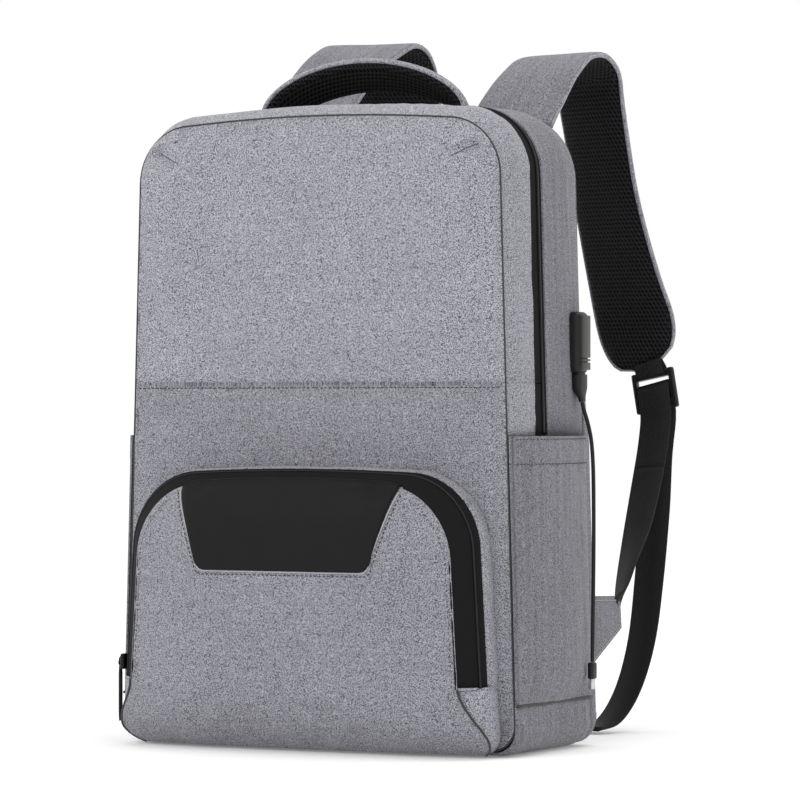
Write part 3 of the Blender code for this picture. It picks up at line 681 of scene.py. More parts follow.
def swollen(outline, y, lift):
    """Outline points at depth y, each moved outwards in its own plane by lift(x, z)."""
    moved = []
    last = len(outline) - 1
    for i, (x, z) in enumerate(outline):
        before = outline[max(i - 1, 0)]
        after = outline[min(i + 1, last)]
        along = Vector((after[0] - before[0], after[1] - before[1])).normalized()
        amount = lift(x, z)
        moved.append(Vector((x - along.y * amount, y, z + along.x * amount)))
    return moved


def soften(piece, levels=1):
    """One round of subdivision, so that simulated cloth looks smooth."""
    modifier = piece.modifiers.new("smooth", "SUBSURF")
    modifier.levels = levels
    modifier.render_levels = levels
    modifier.boundary_smooth = "PRESERVE_CORNERS"
    return piece


def line_with(piece, thickness=CLOTH):
    """Give an open cloth surface its thickness, with its last material on the inside."""
    modifier = piece.modifiers.new("cloth", "SOLIDIFY")
    modifier.thickness = thickness
    modifier.offset = -1
    modifier.material_offset = 1
    return piece


def border_of(columns, rows):
    """Indices of the outermost points of a grid."""
    edge = [j * (columns + 1) + i for j in (0, rows) for i in range(columns + 1)]
    return edge + [j * (columns + 1) + i for j in range(1, rows) for i in (0, columns)]


# ---------------------------------------------------------------- front panels
def front_half(z):
    """Half the front panel's width at a height, rounded corners included."""
    corner_z = PANEL_TOP - CROWN - SEAM_RADIUS
    if z > corner_z:
        reach = math.sqrt(max(SEAM_RADIUS ** 2 - (z - corner_z) ** 2, 0.0))
        return half_width(corner_z, SEAM_INSET) - SEAM_RADIUS + reach
    low_z = PANEL_LOW + FLOOR_RADIUS
    if z < low_z:
        reach = math.sqrt(max(FLOOR_RADIUS ** 2 - (low_z - z) ** 2, 0.0))
        return half_width(PANEL_LOW, SEAM_INSET) - FLOOR_RADIUS + reach
    return half_width(z, SEAM_INSET)


def spread(i, count, ends=0.92):
    """A share from -1 to 1 whose steps are finer near both ends."""
    return math.sin(math.pi / 2 * (2 * i / count - 1) * ends) / math.sin(math.pi / 2 * ends)


FOLD_IN = 0.0009        # how far a seamed edge turns in


def front_panel(name, z_low, z_high, crown, rounded_top, columns, rows, pressure, cap):
    """One cloth panel of the front, blown out a little from its seams."""
    lines = []
    for j in range(rows + 1):
        turn = j / rows * math.pi / 2
        t = math.sin(turn) if rounded_top else 1 - math.cos(turn)
        z = z_low + (z_high - z_low) * t
        line = []
        for i in range(columns + 1):
            s = spread(i, columns)
            edge = i in (0, columns) or j in (0, rows)
            y = FRONT + (FOLD_IN if edge else 0.0)
            line.append((s * front_half(z), y, z + crown * t * (1 - s * s)))
        lines.append(line)
    # The lower panel takes the darker copy of the heather: painted shade, darker below the level seam.
    panel = surface(name, lines, "heather" if rounded_top else "heather_low_painted_shade")
    return inflate(panel, border_of(columns, rows), pressure, cap)


DART_TIP = (0.1075, PANEL_TOP - 0.0305)
DART_FOOT = (0.1250, PANEL_TOP - 0.0225)
DART_DEPTH = 0.0050
DART_WIDTH = 0.0032


def pinch_darts(panel):
    """A short sewn dart runs in from each of the panel's top corners."""
    tip, foot = Vector(DART_TIP), Vector(DART_FOOT)
    along = foot - tip
    for vertex in panel.data.vertices:
        here = Vector((abs(vertex.co.x), vertex.co.z)) - tip
        share = min(max(here.dot(along) / along.length_squared, 0.0), 1.0)
        gap = (here - along * share).length / DART_WIDTH
        if gap < 4:
            vertex.co.y += DART_DEPTH * (0.35 + 0.65 * share) * math.exp(-gap * gap)
            vertex.co.y -= 0.4 * DART_DEPTH * math.exp(-(gap - 1.8) ** 2)


def build_front():
    lower = front_panel("lower_front_cloth", PANEL_LOW, SEAM_Z, 0.0, False, 56, 40, 3.0, 0.0030)
    stand_for(lower, "shell", "heather_grey", "front_panel_lower")
    upper = front_panel("upper_front_cloth", SEAM_Z, PANEL_TOP - CROWN, CROWN, True, 64, 48, 4.0, 0.0065)
    pinch_darts(upper)
    stand_for(upper, "main_flap", "heather_grey", "front_panel_upper")
    for panel in (lower, upper):
        line_with(soften(panel))
    skin = Skin(lower, upper)
    # A thin dark cord along each dart: painted shade of the dart's crease.
    for side, word in SIDES:
        ends = [(side * DART_TIP[0], 0, DART_TIP[1]), (side * DART_FOOT[0], 0, DART_FOOT[1])]
        places, _ = skin.trace(ends, FORWARDS)
        stand_for(cord_piece("dart_shade_line_" + word, places, 0.0003, "thread_dark"), "main_flap", "heather_grey")
    half = front_half(SEAM_Z) - 0.002
    below = SEAM_Z - 0.0030
    places, normals = skin.trace([(-half, 0, below), (half, 0, below)], FORWARDS)
    stand_for(stitches("level_seam_stitches", places, normals, "thread_dark"), "shell", "heather_grey")


def build_seam_shade_cord():
    """The dark line around the front panel's seam, in the flap's half and the fixed half: a thin cord of
    painted shade for the seam's groove.
    """
    radius = 0.0006
    inset = SEAM_INSET - 0.0002
    depth = FRONT + 0.0008
    over = at_depth(arch(SEAM_Z, inset, SEAM_DROP - 0.0004, SEAM_RADIUS + 0.0004), depth)
    under = at_depth(floor_line(SEAM_Z, inset, PANEL_LOW - 0.0004), depth)
    upper = cord_piece("front_seam_shade_upper", over, radius, "thread_dark")
    stand_for(upper, "main_flap", "heather_grey", "piping_upper")
    lower = cord_piece("front_seam_shade_lower", under, radius, "thread_dark")
    stand_for(lower, "shell", "heather_grey", "piping_lower")


# ---------------------------------------------------------------- gussets, side walls, base and back
BEND_Y = FRONT + 0.016      # where the front gusset's slope eases into the side
LIP_FORWARD = 0.0062        # from the CAD tape's edge to the cloth's folded lip in front of it
LIP_Y = TAPE_FRONT - LIP_FORWARD


def between(y, a, b, c, reach=LIP_Y):
    """A value that runs from a at the front seam through b at the bend to c at the zipper."""
    if y < BEND_Y:
        return a + (b - a) * (y - FRONT) / (BEND_Y - FRONT)
    return b + (c - b) * min((y - BEND_Y) / (reach - BEND_Y), 1.0)


def front_strip_outline(y, z_start):
    inset = between(y, SEAM_INSET, 0.0005, 0.0)
    drop = between(y, SEAM_DROP, 0.003, 0.0)
    radius = between(y, SEAM_RADIUS, SEAM_RADIUS, TOP_RADIUS)
    return arch(z_start, inset, drop, radius)


def pucker(x, y, z, toward, reach=0.012, size=0.0007):
    """Small gathers that fade within reach of the sewn line."""
    gap = abs(y - toward) / reach
    if gap > 2.5:
        return 0.0
    wave = noise.noise(Vector((x * 150, toward, z * 150)))
    wave += 0.5 * noise.noise(Vector((x * 330, 3.1, z * 330)))
    return size * wave * math.exp(-gap * gap)


def front_strip_lift(y):
    """How far the cloth between the front seam and the zipper stands out, with a folded lip at the zipper."""
    share = (y - FRONT) / (LIP_Y - FRONT)
    seam = -0.0016 * max(0.0, 1 - share / 0.07) ** 2
    belly = 0.0012 * math.sin(math.pi * min(max(share, 0.0), 1.0))
    lip = 0.0003 * math.exp(-((1 - share) / 0.05) ** 2)
    tuck = -0.0022 if share > 1.0 else 0.0
    return seam + belly + lip + tuck


def front_strip_depths():
    shares = (0.0, 0.03, 0.07, 0.14, 0.24, 0.36, 0.48, 0.60, 0.72, 0.82, 0.89, 0.94, 0.975, 1.0, 1.012)
    return [FRONT + (LIP_Y - FRONT) * share for share in shares]


def soft_lift(y, base, toward, amount=0.0008):
    return lambda x, z: base + amount * ruffle(x, y, z) + pucker(x, y, z, toward)


def build_front_gusset():
    rows = []
    for y in front_strip_depths():
        outline = front_strip_outline(y, SEAM_Z)
        rows.append(swollen(outline, y, soft_lift(y, front_strip_lift(y), LIP_Y)))
    gusset = surface("front_gusset_cloth", rows, "heather")
    stand_for(line_with(gusset), "main_flap", "side_grey", "front_gusset")


def build_side_walls():
    """The fixed walls below the zipped opening, mostly behind the side pockets."""
    for side, word in SIDES:
        low_depths = [FRONT + 0.0004 + (TUB_BACK - FRONT - 0.0004) * i / 12 for i in range(13)]
        rows = []
        for k in range(13):
            z = TUB_Z + (HEM_Z - TUB_Z) * k / 12
            rows.append([Vector((side * half_width(z), y, z)) for y in low_depths][::side])
        wall = surface("side_wall_cloth_" + word, rows, "heather_side")
        stand_for(line_with(wall), "shell", "side_grey", "side_wall_" + word)
        rows = []
        for k in range(7):
            z = HEM_Z + (SEAM_Z - HEM_Z) * k / 6
            row = []
            for y in front_strip_depths():
                inset = between(y, SEAM_INSET, 0.0005, 0.0)
                x = side * half_width(z, inset)
                lift = soft_lift(y, front_strip_lift(y), LIP_Y)(x, z)
                row.append(Vector((x + side * lift, y, z)))
            rows.append(row[::side])
        strip = surface("side_strip_cloth_" + word, rows, "heather")
        stand_for(line_with(strip), "shell", "side_grey")


REAR_ROUND = 0.020      # radius of the bag's upper rear edge
ROUND_FADE = 0.080      # height above the side pockets over which that rounding grows
ROUND_DOWN = 0.5        # the top is drawn down by this share of what the sides are drawn in


def rear_strip_lift(y):
    share = (y - TAPE_REAR) / (TUB_BACK - TAPE_REAR)
    lip = 0.0005 * math.exp(-(share / 0.05) ** 2)
    tuck = -0.0022 if share < 0.0 else 0.0
    seam = -0.0014 * max(0.0, (share - 0.94) / 0.06) ** 2
    return lip + tuck + seam + 0.0014 * math.sin(math.pi * min(max(share, 0.0), 1.0))


def rear_round(outline, y):
    """Draw an outline in where the bag's rear edge rounds off, above the side pockets."""
    share = min(max((y - (BACK - REAR_ROUND)) / REAR_ROUND, 0.0), 1.0)
    inset = REAR_ROUND * (1 - math.sqrt(1 - share * share))
    drawn = []
    for x, z in outline:
        aside = inset * ease((z - HEM_Z) / ROUND_FADE)
        down = ROUND_DOWN * inset * ease((z - (TOP - TOP_RADIUS)) / TOP_RADIUS)
        drawn.append((x * (1 - aside / half_width(z)), z - down))
    return drawn


def build_rear_gusset():
    shares = (-0.012, 0.0, 0.02, 0.05, 0.10, 0.18, 0.28, 0.40, 0.52, 0.64, 0.75, 0.82, 0.88, 0.93, 0.97, 1.0)
    rows = []
    for share in shares:
        y = TAPE_REAR + (TUB_BACK - TAPE_REAR) * share
        back = max(0.0, (y - (TUB_BACK - 0.022)) / 0.022)
        outline = rear_round(arch(HEM_Z, 0.001 * back, 0.002 * back), y)
        rows.append(swollen(outline, y, soft_lift(y, rear_strip_lift(y), TAPE_REAR)))
    gusset = surface("rear_gusset_cloth", rows, "heather_side")
    stand_for(line_with(gusset), "shell", "side_grey", "rear_gusset")


def build_base():
    """The base tub, whose floor and lower sides are one cloth."""
    rows = []
    for k in range(13):
        y = FRONT + 0.0004 + (TUB_BACK - FRONT - 0.0004) * k / 12
        edge = 0.0012 if k in (0, 12) else 0.0
        lift = (lambda x, z, y=y, edge=edge: -edge + (0.0004 * ruffle(x, y, z) if z > 0.004 else 0))
        rows.append(swollen(floor_line(TUB_Z), y, lift))
    tub = surface("base_cloth", rows, "heather_side")
    stand_for(line_with(tub), "shell", "side_grey", "base_tub")
    for side, word in SIDES:
        x = side * (half_width(TUB_Z) + 0.0002)
        line = [Vector((x, FRONT + (TUB_BACK - FRONT) * i / 20, TUB_Z + 0.0006)) for i in range(21)]
        stand_for(cord_piece("base_seam_" + word, line, 0.0010, "thread_dark"), "shell", "side_grey")


def build_back():
    """The back panel, rounded into the gusset, with two quilted pads of spacer mesh."""
    outline = arch(0.030, 0.0010, 0.002) + floor_line(0.030, 0.0010, 0.0010)[1:-1]
    middle = Vector((0, 0, TOP / 2))
    rings = []
    deep = BACK - TUB_BACK
    for share, part in ((0.0, 0.0), (0.0, 0.3), (0.0, 0.55), (0.006, 0.76), (0.012, 0.92), (0.028, 1.0),
                        (0.10, 1.0), (0.35, 1.0), (0.7, 1.0), (0.999, 1.0)):
        y = TUB_BACK + deep * part
        rings.append([Vector((x, 0, z)).lerp(middle, share) + Vector((0, y, 0))
                      for x, z in rear_round(outline, y)])
    panel = surface("back_cloth", rings, "heather_side", closed=True)
    stand_for(line_with(panel, 0.0020), "shell", "side_grey", "back_panel")
    for _, word in SIDES:
        low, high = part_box("back_pad_" + word)
        pad = pillow("back_pad_foam_" + word, low, high, "mesh", 30, 84, channels=6)
        stand_for(pad, "shell", "air_mesh", "back_pad_" + word)


def pillow(name, low, high, material, columns, rows, channels=0, power=6.0):
    """A flat-backed pad between two corners, thickest in its middle, with sewn channels across it."""
    shape = bmesh.new()
    size = high - low
    grids = []
    for face in (0, 1):
        grid = []
        for j in range(rows + 1):
            t = spread(j, rows)
            line = []
            for i in range(columns + 1):
                s = spread(i, columns)
                full = max(0.0, (1 - abs(s) ** power) * (1 - abs(t) ** (power * 3))) ** 0.5
                dent = 0.0
                if channels:
                    dent = 0.45 * math.exp(-((t * channels / 2 + 0.5) % 1 - 0.5) ** 2 / 0.004) * full
                soft = 0.05 * ruffle(s * 3, face, t * 9, 1.0) * full
                reach = (full - dent + soft) * size.y * 0.75 if face else full * size.y * 0.22
                square = 1 - 0.02 * (abs(s * t) ** 8)
                x = (low.x + high.x) / 2 + s * square * size.x / 2
                z = (low.z + high.z) / 2 + t * square * size.z / 2
                y = low.y + size.y * 0.23 + (reach if face else -reach)
                line.append(shape.verts.new((x, y, z)))
            grid.append(line)
        grids.append(grid)
    for face, grid in enumerate(grids):
        for a, b in zip(grid, grid[1:]):
            for i in range(columns):
                corners = (a[i], b[i], b[i + 1], a[i + 1])
                shape.faces.new(corners if face else corners[::-1])
    bmesh.ops.remove_doubles(shape, verts=shape.verts, dist=1e-6)
    bmesh.ops.recalc_face_normals(shape, faces=shape.faces)
    return add_mesh(name, shape, material)


# ---------------------------------------------------------------- main zipper
def coil(name, outline, y, radius, step=0.00105):
    """Zipper coil: a cord whose thickness swells at every tooth."""
    points = [Vector((x, y, z)) for x, z in outline]
    line = [points[0]]
    for a, b in zip(points, points[1:]):
        steps = max(1, round((b - a).length / step))
        line += [a.lerp(b, i / steps) for i in range(1, steps + 1)]
    sides = [Vector((0, 1, 0))] * len(line)

    def section(i, t):
        fat = radius * (1.0 if i % 2 else 0.72)
        return [(1.15 * fat * math.cos(math.pi * k / 3), 0.85 * fat * math.sin(math.pi * k / 3))
                for k in range(6)]

    return sweep(name, line, sides, section, "coil")


def tape(name, z_start, y_low, y_high, sink, outline_at=arch):
    """Woven zipper tape whose rows rise and sink in turn across its width."""
    rows = []
    for k in range(7):
        y = y_low + (y_high - y_low) * k / 6
        outline = outline_at(z_start, sink, sink)
        rows.append(swollen(outline, y, lambda x, z: 0.00012 * math.cos(k * math.pi)))
    return surface(name, rows, "tape", inner="tape")


def build_main_zipper():
    gap = 0.0002
    sink = 0.0005
    front = tape("main_tape_front", SEAM_Z, LIP_Y - 0.0010, ZIP_Y - gap, sink)
    rear = tape("main_tape_rear", HEM_Z, ZIP_Y + gap, TAPE_REAR, sink)
    stand_for(line_with(front, 0.0008), "main_flap", "zipper_tape", "main_zipper_tape_front")
    stand_for(line_with(rear, 0.0008), "shell", "zipper_tape", "main_zipper_tape_rear")
    for side, word in SIDES:
        depths = [LIP_Y - 0.0010 + (ZIP_Y - gap - LIP_Y + 0.0010) * k / 6 for k in range(7)]
        rows = []
        for k in range(7):
            z = HEM_Z + (SEAM_Z - 0.0004 - HEM_Z) * k / 6
            rows.append([Vector((side * (half_width(z) - sink), y, z)) for y in depths][::side])
        low_tape = surface("main_tape_low_" + word, rows, "tape", inner="tape")
        stand_for(line_with(low_tape, 0.0008), "shell", "zipper_tape")
    radius = 0.0012
    teeth = coil("main_coil", arch(HEM_Z + 0.002, 0.0, 0.0), ZIP_Y, radius)
    stand_for(teeth, "shell", "zipper_coil", "main_zipper_coil")


# ---------------------------------------------------------------- side pockets
HEM_FOLD = 0.019        # depth of the side pocket's folded hem


def build_side_pockets():
    stand_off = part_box("side_pocket_right")[1][0] - half_width(TUB_Z + 0.012) - 0.0015
    front_y = FRONT + 0.0022
    rear_y = TUB_BACK - 0.0006
    columns, rows = 34, 44
    for side, word in SIDES:
        lines = []
        for j in range(rows + 1):
            z = TUB_Z + (HEM_Z - TUB_Z) * j / rows
            rise = ease((z - TUB_Z) / 0.020)
            line = []
            for i in range(columns + 1):
                share = i / columns
                y = front_y + (rear_y - front_y) * share
                bulge = math.sin(math.pi * share ** 1.15)
                hem = 0.0008 if z > HEM_Z - HEM_FOLD else 0.0
                x = half_width(z) + 0.0006 + stand_off * 0.80 * rise * bulge + hem
                line.append(Vector((side * x, y, z)))
            lines.append(line[::side])
        pocket = surface("side_pocket_cloth_" + word, lines, "heather_side")
        inflate(pocket, border_of(columns, rows), 2.0, 0.0022)
        stand_for(line_with(soften(pocket), 0.0018), "shell", "side_grey", "side_pocket_" + word)
        skin = Skin(pocket)
        inwards = (-side, 0, 0)
        for label, z in (("hem", HEM_Z - HEM_FOLD), ("rim", HEM_Z - 0.0022)):
            line = [(side * 0.16, front_y + 0.002, z), (side * 0.16, rear_y - 0.002, z)]
            places, normals = skin.trace(line, inwards)
            name = "side_pocket_%s_stitches_%s" % (label, word)
            sewn = stitches(name, places, normals, "thread_dark", 0.0040, 0.0026)
            stand_for(sewn, "shell", "side_grey")


# ---------------------------------------------------------------- front pocket
POCKET_CORNER = 0.016       # rounding of the pocket's lower corners
EDGE_BEHIND = 0.0036        # from the pocket's front to the cloth's edge beside the band
TEETH_FORWARD = 0.0030      # from the CAD coil to the teeth in front of it
BLACK_BEHIND = 0.0030       # from the CAD coil to the grey gusset behind the band
POCKET_EDGE = POCKET_FRONT + EDGE_BEHIND
TEETH_Y = POCKET_COIL_Y - TEETH_FORWARD
BLACK_REAR = POCKET_COIL_Y + BLACK_BEHIND
POCKET_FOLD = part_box("pocket_tray")[1][2]
POCKET_EDGE_TOP = POCKET_TOP - 0.002 - TOP_LEAN
BELLY = 0.0050


def pocket_outline(z_start, inset=0.0, drop=0.0):
    return arch(z_start, inset, drop, POCKET_RADIUS, POCKET_TOP, pocket_half, 0.002)


def pocket_width(z):
    """Half the width of the pocket's front edge at a height, its rounded corners included."""
    lean = POCKET_LEAN * ease((z - 0.010) / (POCKET_FOLD - 0.010))
    corner_z = POCKET_EDGE_TOP - POCKET_RADIUS
    if z > corner_z:
        reach = math.sqrt(max(POCKET_RADIUS ** 2 - (z - corner_z) ** 2, 0.0))
        return pocket_half(corner_z, lean) - POCKET_RADIUS + reach
    if z < POCKET_CORNER:
        reach = math.sqrt(POCKET_CORNER ** 2 - (POCKET_CORNER - z) ** 2)
        return pocket_half(z, lean) - POCKET_CORNER + reach
    return pocket_half(z, lean)


def pocket_edge_y(z):
    """Depth of the cloth's edge: level beside the zipper, then sweeping back to the front panel's foot."""
    if z >= POCKET_FOLD:
        return POCKET_EDGE
    share = 1 - z / POCKET_FOLD
    return POCKET_EDGE + (FRONT - 0.002 - POCKET_EDGE) * (0.25 * share + 0.75 * share ** 3)


def build_pocket_front():
    """One cloth from the pocket's floor to its top; it bends where the pocket's flap folds."""
    columns = 64
    edge_top = POCKET_EDGE_TOP
    heights = [0.0007] + [POCKET_FOLD * (k / 14) ** 1.5 + 0.0007 for k in range(1, 15)]
    upper = 40
    heights += [POCKET_FOLD + 0.0007 + (edge_top - POCKET_FOLD - 0.0007) * math.sin(math.pi / 2 * k / upper)
                for k in range(1, upper + 1)]
    rows = len(heights) - 1
    lines = []
    for z in heights:
        foot = ease(z / 0.030)
        line = []
        for i in range(columns + 1):
            s = spread(i, columns)
            round_off = 1 - s ** 4
            edge = pocket_edge_y(z)
            top_fade = 1 - max(0.0, (z - edge_top + 0.035) / 0.035) ** 3
            front = POCKET_FRONT - 0.001 + 0.026 * (1 - foot) ** 2
            y = edge + (min(front, edge) - edge) * round_off - BELLY * foot * round_off * max(top_fade, 0.0)
            crown = 0.002 * max(0.0, (z - 0.13) / (edge_top - 0.13)) * (1 - s * s)
            line.append((s * pocket_width(z), y, z + crown))
        lines.append(line)
    bottom = [(x, FRONT - 0.001, z) for x, _, z in lines[0]]
    # The pocket takes the darker copy of the heather: painted shade.
    cloth = surface("pocket_cloth", [bottom] + lines, "heather_low_painted_shade")
    rows += 1
    held = border_of(columns, rows) + list(range(3 * (columns + 1)))
    inflate(cloth, sorted(set(held)), 3.0, 0.0045, -0.012)
    for vertex in cloth.data.vertices:
        vertex.co.z = max(vertex.co.z, 0.0006)
    finished(line_with(soften(cloth)))
    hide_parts("pocket_panel", "pocket_tray")
    skin = Skin(cloth)
    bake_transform(cloth)
    return skin


def band_lean(y):
    """How far the band has leant in at a depth: it is straight behind the coil and leans before it."""
    return POCKET_LEAN * max(0.0, (POCKET_COIL_Y - y) / (POCKET_COIL_Y - POCKET_EDGE))


def band_drop(y):
    return band_lean(y) * TOP_LEAN / POCKET_LEAN


def build_pocket_sides():
    """The band around the pocket, black above the fold and grey below it, and the coil along it."""
    fold = POCKET_FOLD
    spans = (("pocket_band_gusset", "shell", BLACK_REAR, FRONT - 0.0002,
              "heather", 0.0012, "heather_grey", ()),
             ("pocket_band_rear", "shell", TEETH_Y + 0.0002, BLACK_REAR + 0.0006,
              "tape", 0.0001, "zipper_tape", ("pocket_tape_rear",)),
             ("pocket_band_front", "pocket_flap", POCKET_EDGE - 0.0008, TEETH_Y - 0.0002,
              "tape", 0.0004, "zipper_tape", ("pocket_tape_front",)))
    for name, body, y_low, y_high, material, puff, slot_name, nodes in spans:
        rows = []
        for k in range(9):
            share = k / 8
            y = y_low + (y_high - y_low) * share
            swell = puff * (0.4 + math.sin(math.pi * share)) - 0.0006
            lift = (lambda x, z, swell=swell, y=y: swell + 0.4 * puff * ruffle(x, y, z, 40.0))
            rows.append(swollen(pocket_outline(fold, band_lean(y), band_drop(y)), y, lift))
        band = surface(name, rows, material, inner="lining")
        stand_for(line_with(band, 0.0012), body, slot_name, *nodes)
    radius = 0.0010
    sunk = 0.0004
    teeth_line = pocket_outline(fold, band_lean(TEETH_Y) + sunk, band_drop(TEETH_Y) + sunk)
    teeth = coil("pocket_coil", teeth_line, TEETH_Y, radius)
    stand_for(teeth, "shell", "zipper_coil", "pocket_zipper_coil")
    for side, word in SIDES:
        rows = []
        for k in range(15):
            z = 0.0008 + (fold - 0.0008) * k / 14
            edge = pocket_edge_y(z)
            row = []
            for i in range(9):
                share = i / 8
                y = edge + (FRONT - 0.0003 - edge) * share
                puff = 0.0018 * math.sin(math.pi * share) * ease(k / 6)
                rear_x = pocket_width(z) + POCKET_LEAN * ease((z - 0.010) / (fold - 0.010))
                x = pocket_width(z) + (rear_x - pocket_width(z)) * min(share / 0.46, 1.0)
                row.append(Vector((side * (x + puff - 0.0004), y, z)))
            rows.append(row[::side])
        gusset = surface("pocket_gusset_" + word, rows, "heather")
        stand_for(line_with(gusset, 0.0012), "shell", "heather_grey")
        line = [Vector((side * (pocket_width(z) + 0.0002), pocket_edge_y(z) - 0.0004, z))
                for z in [0.001 + (fold - 0.001) * k / 20 for k in range(21)]]
        seam = cord_piece("pocket_gusset_seam_" + word, line, 0.0008, "thread_dark")
        stand_for(seam, "shell", "heather_grey")
        depths = [POCKET_EDGE + (FRONT - POCKET_EDGE) * k / 10 for k in range(11)]
        line = [Vector((side * (pocket_half(fold, band_lean(y)) + 0.0006), y, fold + 0.0004)) for y in depths]
        stand_for(cord_piece("pocket_band_end_" + word, line, 0.0009, "heather"), "shell", "heather_grey")


PATCH_TOP_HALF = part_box("pocket_patch")[1][0]
PATCH_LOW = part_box("pocket_patch")[0][2]
PATCH_HIGH = POCKET_EDGE_TOP
PATCH_LOW_HALF = PATCH_TOP_HALF - 0.018
PATCH_CORNER = 0.006


def pocket_edge_top(x):
    """Height of the cloth's upper edge above a place on the pocket's front."""
    flat = pocket_half(POCKET_EDGE_TOP - POCKET_RADIUS, POCKET_LEAN) - POCKET_RADIUS
    over = max(abs(x) - flat, 0.0)
    fall = POCKET_RADIUS - math.sqrt(max(POCKET_RADIUS ** 2 - over ** 2, 0.0))
    return POCKET_EDGE_TOP - fall + 0.002 * max(0.0, 1 - (x / flat) ** 2)


def patch_half(z):
    half = PATCH_LOW_HALF + (PATCH_TOP_HALF - PATCH_LOW_HALF) * (z - PATCH_LOW) / (PATCH_HIGH - PATCH_LOW)
    dip = PATCH_CORNER - (z - PATCH_LOW)
    if dip > 0:
        half -= PATCH_CORNER - math.sqrt(max(PATCH_CORNER ** 2 - dip ** 2, 0.0))
    return half


def build_patch(skin):
    """Black trim cloth laid on the pocket's upper front, with upright creases and a stitched edge."""
    rows = []
    count = 26
    for j in range(count + 1):
        height = (j / count) ** 1.4
        half = patch_half(PATCH_LOW + (PATCH_HIGH - PATCH_LOW) * height)
        row = []
        for i in range(61):
            x = half * (2 * i / 60 - 1)
            z = PATCH_LOW + (pocket_edge_top(x) - 0.0008 - PATCH_LOW) * height
            place, normal = skin.land((x, 0, z), FORWARDS)
            middle = (1 - abs(2 * i / 60 - 1) ** 6) * math.sin(math.pi * height) ** 0.5
            crease = 0.0008 * middle * (noise.noise(Vector((x * 55, 2.0, z * 9))) + 0.6)
            row.append(place + normal * (0.0012 + crease))
        rows.append(row)
    over = []
    for point in rows[-1]:
        y = min(POCKET_EDGE - 0.0014, point.y - 0.0002)
        over.append(Vector((point.x, y, pocket_edge_top(point.x) + 0.0016)))
    rows.append(over)
    rows.append([Vector((point.x, POCKET_EDGE + 0.0022, point.z + 0.0006)) for point in rows[-1]])
    patch = surface("pocket_patch_cloth", rows, "patch", inner="patch")
    finished(line_with(patch, 0.0010))
    stand_for(patch, "pocket_flap", "black_patch", "pocket_patch")
    for gap, kind in ((0.0008, "edge"), (0.0030, "stitches")):
        sew_patch_outline(skin, gap, kind)


def sew_patch_outline(skin, gap, kind):
    """The patch's light folded edge, or the stitched line outside it."""
    corner = [(PATCH_LOW_HALF + gap - PATCH_CORNER * (1 - math.cos(angle)),
               PATCH_LOW - gap + PATCH_CORNER * (1 - math.sin(angle)))
              for angle in [math.pi / 2 * k / 6 for k in range(7)]]
    right = [(PATCH_TOP_HALF + gap, pocket_edge_top(PATCH_TOP_HALF + gap) - 0.003)] + corner
    outline = [(-x, z) for x, z in right] + right[::-1]
    places, normals = skin.trace([(x, 0, z) for x, z in outline], FORWARDS)
    if kind == "edge":
        raised = [place + normal * 0.0004 for place, normal in zip(places, normals)]
        sewn = cord_piece("patch_edge", raised, 0.0005, "thread_light", 6)
    else:
        sewn = stitches("patch_stitches", places, normals, "thread_dark", 0.0034, 0.0022)
    stand_for(sewn, "pocket_flap", "black_patch")


def build_pocket_stitches(skin):
    """A stitched line beside the band, just inside the cloth's folded edge."""
    outline = pocket_outline(POCKET_FOLD, POCKET_LEAN + 0.0036, TOP_LEAN + 0.0036)
    for side, word in SIDES:
        run = [(x, 0, z) for x, z in outline if x * side > PATCH_TOP_HALF + 0.004]
        places, normals = skin.trace(run, FORWARDS)
        sewn = stitches("pocket_edge_stitches_" + word, places, normals, "thread_dark",
                        0.0036, 0.0020, 0.00022)
        stand_for(sewn, "pocket_flap", "heather_grey")


# ---------------------------------------------------------------- sliders and pullers
def rounded_block(name, low, high, edge, material, segments=3):
    """A block with rounded edges."""
    shape = bmesh.new()
    bmesh.ops.create_cube(shape, size=1.0)
    bmesh.ops.scale(shape, vec=Vector(high) - Vector(low), verts=shape.verts)
    bmesh.ops.translate(shape, vec=(Vector(high) + Vector(low)) / 2, verts=shape.verts)
    bmesh.ops.bevel(shape, geom=list(shape.edges), offset=edge, segments=segments, profile=0.5,
                    affect="EDGES")
    return add_mesh(name, shape, material)


